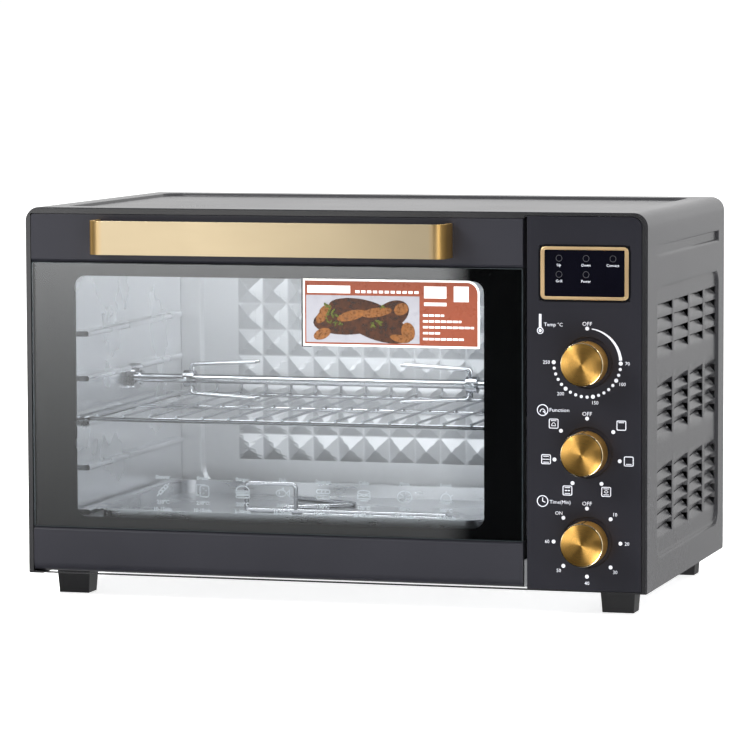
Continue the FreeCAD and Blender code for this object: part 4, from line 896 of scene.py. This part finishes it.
def make_sticker(front):
    """A plain showroom sticker: a dish drawn from ovals, and bars where text would be."""
    x0, x1, z0, z1 = STICKER
    keys = ["sticker_white", "sticker", "dish", "crust", "golden", "leaf", "sticker_black"]
    layer = 0.02
    work = bmesh.new()
    level = front - layer
    add_plate(work, sticker_outline(x0, x1, z0, z1, 11.0), level, front, 0)
    add_plate(work, sticker_outline(x0 + STICKER_BORDER, x1 - STICKER_BORDER, z0 + STICKER_BORDER,
                                    z1 - STICKER_BORDER, 9.5), level - layer, level, 1)
    add_box(work, x0 - 1.3, x0, level, front, z0, z1 - 0.4, 6)
    add_box(work, x0 - 1.3, x0 + 7.5, level - layer, level, z0 - 0.9, z0, 6)
    level -= layer
    px0, px1, pz0, pz1 = PICTURE
    add_box(work, px0, px1, level - layer, level, pz0, pz1, 2)
    level -= layer
    cx = (px0 + px1) / 2
    cz = (pz0 + pz1) / 2
    meats = ((-4, 9, 26, 8.5, -0.12), (-8, 0, 36, 13, 0.10), (14, -6, 30, 12, -0.28),
             (25, 4, 17, 11, 0.5))
    for dx, dz, wide, tall, turn in meats:
        level -= layer
        add_disc(work, cx + dx, cz + dz, wide, level, level + layer, 3, tall, turn, 28)
    for dx, dz, wide, tall, turn in ((-36, -13, 8, 4.5, 0.4), (-36, 2, 7, 4, 0.9), (-33, 8, 6, 3.2, 0.5),
                                     (40, -10, 6, 8, 0.2), (33, -16, 9, 3.2, -0.2), (-10, 3, 13, 4.2,
                                                                                     0.25),
                                     (12, 6, 14, 4.0, 0.15), (34, 9, 6.5, 5, 0.4)):
        level -= layer
        add_disc(work, cx + dx, cz + dz, wide, level, level + layer, 4, tall, turn, 18)
    for _ in range(26):
        level -= layer / 4
        spot = RANDOM.choice(((-27, 6), (-29, 0), (-33, 11), (18, 10), (12, -3), (-22, -3)))
        add_disc(work, cx + spot[0] + RANDOM.uniform(-4, 4), cz + spot[1] + RANDOM.uniform(-3.5, 3.5),
                 RANDOM.uniform(1.6, 3.4), level, level + layer / 4, 5, RANDOM.uniform(0.6, 1.1),
                 RANDOM.uniform(0, math.pi), 8)
    level = front - 3 * layer
    bars = [(-19.6, 18.4, 269.4, 275.8), (83.5, 103.0, 266.2, 276.2), (83.5, 103.0, 259.8, 262.6),
            (109.5, 122.5, 263.5, 276.5)]
    bars += [(23.0 + 5.2 * i, 26.6 + 5.2 * i, 269.8, 272.0) for i in range(11)]
    for row, reach in enumerate((101.0, 116.0, 127.0, 98.0, 118.0)):
        x = 82.5
        while x < reach:
            bars.append((x, min(x + 4.4, reach), 250.8 - 5.0 * row, 252.6 - 5.0 * row))
            x += 5.2
    for bx0, bx1, bz0, bz1 in bars:
        add_box(work, bx0, bx1, level, level + layer, bz0, bz1, 0)
    piece("door_sticker", work, "door", keys)


def make_glass():
    """Tempered pane with polished edges, the black frame printed on its inner face, and the guide print."""
    x0, x1, y0, y1, z0, z1 = span("door_glass")
    work = bmesh.new()
    pane_back = y1 - PRINT_ROOM
    add_box(work, x0, x1, y0, pane_back, z0, z1)
    for face in work.faces:
        middle = face.calc_center_median()
        if y0 + 0.1 < middle.y < pane_back - 0.1:
            # painted highlight: the left edge takes the light copy of the edge material, the other edges
            # the dark one
            face.material_index = 2 if middle.x < x0 + 0.1 else 1
    bmesh.ops.bevel(work, geom=list(work.edges), offset=0.5, segments=2, affect="EDGES", material=1)
    piece("door_glass_pane", work, "door", ["glass", "glass_edge", "glass_edge_painted_highlight"],
          ["door_glass"])
    work = bmesh.new()
    wx0, wx1, wz0, wz1 = WINDOW
    inner = rounded_outline(wx0, wx1, wz0, wz1, WINDOW_CORNER)
    outer = rounded_outline(x0 + 2.5, x1 - 1.0, z0 + 0.5, z1 - 0.5, 1.0)
    add_ring(work, outer, inner, pane_back + 0.02, y1 - 0.02)
    piece("door_glass_print", work, "door", ["black_print_and_gap_shade"])
    work = bmesh.new()
    add_cooking_guide(work, pane_back + 0.02)
    piece("door_cooking_guide", work, "door", ["guide_ink"])
    make_sticker(y0 - 0.02)


def make_door():
    refined("door_top_trim", "door", ["trim"], 0.9, 3)
    refined("door_bottom_trim", "door", ["trim"], 0.7, 3)
    refined("door_handle", "door", ["handle"], 0.5, 3)
    make_glass()


# ---- knobs and panel -------------------------------------------------------------------------
def make_knob(kind):
    """Turned cap: spun face, bright cut edge, straight side with a fine pointer notch at the top."""
    x0, x1, y0, y1, z0, z1 = span(kind + "_knob")
    centre = ((x0 + x1) / 2, (z0 + z1) / 2)
    radius = (x1 - x0) / 2
    profile = [(0.0, y0), (radius * 0.5, y0), (radius - 0.9, y0), (radius - 0.35, y0 + 0.22),
               (radius, y0 + 0.9), (radius, y1 - 1.2), (radius - 0.5, y1 - 0.3), (radius - 1.0, y1),
               (radius - 3.0,
                                                                                  y1),
                                                                                  (radius - 3.0, -6.0),
               (3.0, -6.0), (3.0, -17.0), (0.0, -17.0)]
    indices = [0, 0, 2, 2, 1, 1, 1, 1, 1, 1, 1, 1]
    work = bmesh.new()
    add_lathe(work, profile, centre, 96, indices)
    piece(kind + "_knob_cap", work, kind + "_control",
          ["knob_face", "knob_side", "knob_edge"], [kind + "_knob"], angle=25.0)
    work = bmesh.new()
    add_box(work, centre[0] - 0.7, centre[0] + 0.7, y0 + 1.5, y1 - 3.0, centre[1] + radius - 0.4,
            centre[1] + radius + 0.08)
    piece(kind + "_knob_pointer", work, kind + "_control", ["knob_edge"], bevel=0.15)


DIAL_RADIUS = 28.75
DIAL_X = 224.8
TEMPERATURE_Z = 214.3
FUNCTION_Z = 138.8
TIMER_Z = 63.0
INK_FRONT = -0.08
INK_BACK = -0.01
SCALE_TEXT = 2.9
OFF_TEXT = 3.3
OFF_WIDTH = 8.2
HEADING_TEXT = 3.0
MARK_RADIUS = 1.65


def ink_text(work, words, x, z, height=SCALE_TEXT, width=None):
    add_text(work, words, x, z, height, INK_FRONT, INK_BACK, width)


def ink_line(work, points, width, closed=False):
    add_stroke(work, points, width, INK_FRONT, INK_BACK, closed)


def ink_dot(work, x, z, radius=MARK_RADIUS):
    add_disc(work, x, z, radius, INK_FRONT, INK_BACK)


def on_dial(centre_z, degrees, radius=DIAL_RADIUS):
    """The point at a clock angle on a circle round a knob."""
    turn = math.radians(degrees)
    return DIAL_X + radius * math.sin(turn), centre_z + radius * math.cos(turn)


def add_temperature_scale(work):
    degrees = [8 + 77 * i / 24 for i in range(25)]
    widths = [0.8 + 1.8 * i / 24 for i in range(25)]
    outer = [on_dial(TEMPERATURE_Z, a, DIAL_RADIUS + w / 2) for a, w in zip(degrees, widths)]
    inner = [on_dial(TEMPERATURE_Z, a, DIAL_RADIUS - w / 2) for a, w in zip(degrees, widths)]
    add_plate(work, outer[::-1] + inner, INK_FRONT, INK_BACK)
    labels = {90: ("70", 5.8, 0.0), 120: ("100", 5.5, -3.0), 170: ("150", 2.0, -5.0),
              220: ("200", -4.3, -4.3), 270: ("250", -6.3, 0.0)}
    for angle in range(90, 271, 10):
        x, z = on_dial(TEMPERATURE_Z, angle)
        ink_dot(work, x, z, 1.7 if angle in labels else 1.3)
        if angle in labels:
            words, dx, dz = labels[angle]
            ink_text(work, words, x + dx, z + dz)
    x, z = on_dial(TEMPERATURE_Z, 0)
    ink_dot(work, x, z)
    ink_text(work, "OFF", x, 247.0, OFF_TEXT, OFF_WIDTH)


def add_function_scale(work):
    """Seven positions with small oven symbols: bars for the heaters, a lamp, and a fan."""
    offsets = ((6.9, 5.6), (7.7, 0.0), (4.0, -6.6), (-4.4, -6.4), (-7.3, 0.0), (-6.3, 5.9))
    marks = (("top",), ("low",), ("top", "low", "spit"), ("top", "low", "fan"), ("top", "low", "shelf"),
             ("top", "lamp"))
    x, z = on_dial(FUNCTION_Z, 0)
    ink_dot(work, x, z)
    ink_text(work, "OFF", x, 171.5, OFF_TEXT, OFF_WIDTH)
    for i, ((dx, dz), kinds) in enumerate(zip(offsets, marks)):
        x, z = on_dial(FUNCTION_Z, 360 / 7 * (i + 1))
        ink_dot(work, x, z)
        x += dx
        z += dz
        ink_line(work, rounded_outline(x - 3.8, x + 3.8, z - 3.8, z + 3.8, 0.8, 2), 0.7, True)
        if "top" in kinds:
            ink_line(work, [(x - 2.4, z + 2.5), (x + 2.4, z + 2.5)], 0.6)
        if "low" in kinds:
            ink_line(work, [(x - 2.4, z - 2.5), (x + 2.4, z - 2.5)], 0.6)
        if "spit" in kinds:
            ink_line(work, oval(x, z, 1.5, 1.0, 12), 0.5, True)
        if "fan" in kinds:
            add_disc(work, x - 1.2, z, 1.1, INK_FRONT, INK_BACK, height=0.5)
            add_disc(work, x + 1.2, z, 1.1, INK_FRONT, INK_BACK, height=0.5)
        if "shelf" in kinds:
            ink_line(work, [(x - 3.2, z), (x + 3.2, z)], 0.6)
        if "lamp" in kinds:
            ink_line(work, arch(x, z - 1.8, 1.7, 2.6, 8), 0.5, True)


def add_timer_scale(work):
    words = ("OFF", "10", "20", "30", "40", "50", "60", "ON")
    for i, word in enumerate(words):
        x, z = on_dial(TIMER_Z, 45 * i)
        ink_dot(work, x, z)
        if i:
            x, z = on_dial(TIMER_Z, 45 * i, DIAL_RADIUS + 5.6)
            ink_text(work, word, x, z)
    ink_text(work, "OFF", DIAL_X, 95.9, OFF_TEXT, OFF_WIDTH)


def add_headings(work):
    """Thermometer, dial and clock symbols with the name of each knob."""
    ink_line(work, oval(184.4, 240.7, 2.5, 2.5), 0.7, True)
    ink_dot(work, 184.4, 240.7, 1.3)
    ink_line(work, [(184.4, 243.4), (184.4, 254.6)], 2.1)
    ink_text(work, "Temp \u00b0C", 195.7, 246.0, HEADING_TEXT, 16.0)
    ink_line(work, oval(186.5, 173.8, 4.6, 4.6), 0.7, True)
    ink_line(work, arch(186.5, 172.0, 2.2, 2.8, 8), 0.6)
    ink_line(work, [(186.9, 173.0), (189.2, 170.8)], 0.8)
    ink_text(work, "Function", 201.0, 174.2, HEADING_TEXT, 16.9)
    ink_line(work, oval(186.5, 97.0, 4.6, 4.6), 0.7, True)
    ink_line(work, [(186.5, 100.0), (186.5, 97.0), (188.8, 96.0)], 0.7)
    ink_text(work, "Time(Min)", 201.6, 96.6, HEADING_TEXT, 18.0)


def make_panel_print():
    work = bmesh.new()
    add_temperature_scale(work)
    add_function_scale(work)
    add_timer_scale(work)
    add_headings(work)
    piece("panel_print", work, "casing", ["white_ink"])
    front = span("display_window")[2]
    work = bmesh.new()
    for words, x, z in (("Up", 200.5, 296.0), ("Down", 223.7, 296.0), ("Convect", 246.7, 296.0),
                        ("Grill", 200.5, 282.5), ("Power", 223.7, 282.5)):
        add_text(work, words, x, z, 2.2, front - 0.06, front - 0.01)
        add_stroke(work, oval(x, z + 5.6, 2.6, 2.6, 14), 0.4, front - 0.06, front - 0.01, True, 1)
    piece("display_print", work, "casing", ["white_ink", "grey_ink"])


BEZEL_WIDTH = 3.6
BEZEL_CORNER = 4.6


def make_bezel():
    """Raised round-cornered frame with a softened face, and a dark ring printed round it as painted shade
    for the gap to the panel.
    """
    x0, x1, y0, y1, z0, z1 = span("display_bezel")
    width = BEZEL_WIDTH
    work = bmesh.new()
    outer = rounded_outline(x0, x1, z0, z1, BEZEL_CORNER)
    inner = rounded_outline(x0 + width, x1 - width, z0 + width * 0.78, z1 - width * 0.78, 0.8)
    add_ring(work, outer, inner, y0, y1)
    piece("display_bezel_frame", work, "casing", ["bezel"], ["display_bezel"], 0.45, 3)
    # painted shade: a black ring on the panel face standing for the shaded gap round the bezel
    work = bmesh.new()
    gap_shade_outline = rounded_outline(x0 - 1.8, x1 + 1.8, z0 - 1.8, z1 + 1.8, BEZEL_CORNER + 1.8)
    add_ring(work, gap_shade_outline, outer, INK_FRONT, INK_BACK)
    piece("display_gap_painted_shade", work, "casing", ["black_print_and_gap_shade"])


def make_panel():
    refined("control_panel", "casing", ["panel"], 0.8, 3)
    make_bezel()
    refined("display_window", "casing", ["display"], 0.2, 2)
    for kind in ("temperature", "function", "timer"):
        make_knob(kind)
    make_panel_print()


# ---- stage and light -------------------------------------------------------------------------
def stage_object(name, corners, quads, material):
    mesh = bpy.data.meshes.new(name)
    mesh.from_pydata([place(*corner) for corner in corners], [], quads)
    mesh.materials.append(material)
    made = bpy.data.objects.new(name, mesh)
    bpy.context.scene.collection.objects.link(made)
    return made


def make_floor():
    """A pale table top that also glows a little, as a lit white sweep does."""
    material, nodes, links, shader = blank("floor_white")
    shader.inputs["Base Color"].default_value = (0.86, 0.86, 0.86, 1)
    shader.inputs["Roughness"].default_value = 0.9
    shader.inputs["Specular IOR Level"].default_value = 0.1
    shader.inputs["Emission Color"].default_value = (1, 1, 1, 1)
    shader.inputs["Emission Strength"].default_value = 0.75
    reach = 9000.0
    corners = [(-reach, -reach, 0), (reach, -reach, 0), (reach, reach, 0), (-reach, reach, 0)]
    floor = stage_object("floor", corners, [(0, 1, 2, 3)], material)
    floor.visible_glossy = False
    floor.visible_shadow = False


def make_backdrop():
    """A white room seen only by the camera, so that every view has the same plain background."""
    material, nodes, links, shader = blank("backdrop_white")
    shader.inputs["Base Color"].default_value = (0, 0, 0, 1)
    shader.inputs["Emission Color"].default_value = (1, 1, 1, 1)
    shader.inputs["Emission Strength"].default_value = 1.02
    reach = 8900.0
    corners = [(x, y, z) for x in (-reach, reach) for y in (-reach, reach) for z in (-300.0, 9000.0)]
    quads = [(0, 1, 3, 2), (4, 6, 7, 5), (0, 4, 5, 1), (2, 3, 7, 6), (1, 5, 7, 3)]
    backdrop = stage_object("backdrop", corners, quads, material)
    backdrop.visible_glossy = False
    backdrop.visible_diffuse = False
    backdrop.visible_shadow = False
    backdrop.visible_transmission = False


CARD_EDGES = (-1800.0, -475.0, -435.0)
CARD_Y = -2095.0
CARD_GLOW = 2.1
CARD_RISE = 3.9
CARD_TOP_FADE = (165.0, 260.0)


def make_card():
    """Softbox card at the front left that the door mirrors: brighter upwards, with a soft right edge."""
    material, nodes, links, shader = blank("card_glow")
    nodes.remove(shader)
    glow = nodes.new("ShaderNodeEmission")
    source = nodes.new("ShaderNodeTexCoord")
    parts = nodes.new("ShaderNodeSeparateXYZ")
    links.new(source.outputs["Object"], parts.inputs[0])
    steps = []
    for operation, value in (("MULTIPLY", CARD_RISE), ("EXPONENT", None), ("MULTIPLY", CARD_GLOW)):
        node = nodes.new("ShaderNodeMath")
        node.operation = operation
        if value is not None:
            node.inputs[1].default_value = value
        links.new(steps[-1].outputs[0] if steps else parts.outputs["Z"], node.inputs[0])
        steps.append(node)
    side_fade = spread(nodes, links, parts.outputs["X"], CARD_EDGES[1] * MM, CARD_EDGES[2] * MM, 1.0, 0.0)
    top_fade = spread(nodes, links, parts.outputs["Z"], CARD_TOP_FADE[0] * MM, CARD_TOP_FADE[1] * MM, 1.0,
                      0.2)
    for fade in (side_fade, top_fade):
        total = nodes.new("ShaderNodeMath")
        total.operation = "MULTIPLY"
        links.new(steps[-1].outputs[0], total.inputs[0])
        links.new(fade, total.inputs[1])
        steps.append(total)
    links.new(steps[-1].outputs[0], glow.inputs["Strength"])
    links.new(glow.outputs[0], nodes["Material Output"].inputs["Surface"])
    x0, x1 = CARD_EDGES[0], CARD_EDGES[2]
    corners = [(x0, CARD_Y, -420.0), (x1, CARD_Y, -420.0), (x1, CARD_Y, 420.0), (x0, CARD_Y, 420.0)]
    card = stage_object("card", corners, [(0, 1, 2, 3)], material)
    card.visible_camera = False
    card.visible_shadow = False


def add_area_light(name, where, target, width, height, power, colour=(1, 1, 1)):
    light = bpy.data.lights.new(name, "AREA")
    light.shape = "RECTANGLE"
    light.size = width * MM
    light.size_y = height * MM
    light.energy = power
    light.color = colour
    lamp = bpy.data.objects.new(name, light)
    bpy.context.scene.collection.objects.link(lamp)
    lamp.location = place(*where)
    aim = place(*target) - place(*where)
    lamp.rotation_euler = aim.to_track_quat("-Z", "Y").to_euler()
    lamp.visible_camera = False
    return lamp


def make_world():
    """Bright white behind the oven, softer overhead, dim in front of it: a studio with a lit backdrop."""
    world = bpy.data.worlds.new("studio")
    bpy.context.scene.world = world
    world.use_nodes = True
    nodes = world.node_tree.nodes
    links = world.node_tree.links
    background = nodes["Background"]
    source = nodes.new("ShaderNodeTexCoord")
    parts = nodes.new("ShaderNodeSeparateXYZ")
    links.new(source.outputs["Generated"], parts.inputs[0])
    behind = spread(nodes, links, parts.outputs["Y"], -0.10, 0.30, 0.02, 1.0)
    overhead = spread(nodes, links, parts.outputs["Z"], 0.40, 0.75, 0.0, 0.9)
    brighter = nodes.new("ShaderNodeMath")
    brighter.operation = "MAXIMUM"
    links.new(behind, brighter.inputs[0])
    links.new(overhead, brighter.inputs[1])
    total = nodes.new("ShaderNodeMath")
    total.operation = "MULTIPLY"
    links.new(brighter.outputs[0], total.inputs[0])
    links.new(spread(nodes, links, parts.outputs["Z"], -0.12, 0.03, 0.62, 1.0), total.inputs[1])
    links.new(total.outputs[0], background.inputs["Strength"])
    background.inputs["Color"].default_value = (1, 1, 1, 1)


def make_lights():
    add_area_light("top_left_key", (-1100, -900, 1350), (150, 0, 150), 900, 700, 45)
    add_area_light("front_right_fill", (1500, -1500, 900), (100, 0, 150), 900, 900, 14)
    add_area_light("right_top", (950, 200, 1350), (275, 150, 170), 700, 700, 12)
    add_area_light("floor_bounce", (750, -1150, -700), (225, 0, 140), 900, 700, 15)
    add_area_light("cavity_low_fill", (-50, 26, 105), (-50, 290, 120), 300, 40, 0.1)
    add_area_light("cavity_lamp", (-50, 110, 300), (-50, 190, 60), 340, 130, 1.2)


# ---- everything ------------------------------------------------------------------------------
NODE_LOOKS = {
    "zinc_sheet": "zinc", "aluminised_steel": "wall", "inner_steel": "black_steel", "lens_glass": "lens",
    "foot_plastic": "foot", "chrome_wire": "chrome", "tray_metal": "tray", "heater_sheath": "sheath",
    "ceramic": "ceramic", "lamp_glass": "bulb", "screw_steel": "steel", "motor_steel": "motor",
    "switch_body": "switch", "circuit_board": "board", "black_coated_steel": "rim", "cover_steel": "cover",
    "black_satin_trim": "trim", "tempered_glass": "glass", "champagne_metal": "handle",
    "gold_knob": "knob_side", "display_black": "display",
}


def dress_cad_nodes():
    """Gives every carried-over CAD node the procedural material of its slot."""
    slots = {row["node"]: row["material_slot"] for row in frame["record"]["subparts"]}
    for node, made in frame["nodes"].items():
        made.data.materials.clear()
        made.data.materials.append(MATERIALS[NODE_LOOKS[slots[node]]])


def make_feet():
    for node in ("front_left_foot", "back_left_foot", "front_right_foot", "back_right_foot"):
        refined(node, "casing", ["foot"], 1.1, 3)


def main():
    bpy.context.scene.view_settings.view_transform = "Standard"
    make_camera()
    dress_cad_nodes()
    make_cover()
    refined("front_rim", "casing", ["rim"], 0.7, 3)
    make_feet()
    make_back_wall()
    make_side_walls()
    make_door()
    make_panel()
    make_floor()
    make_backdrop()
    make_card()
    make_world()
    make_lights()


main()
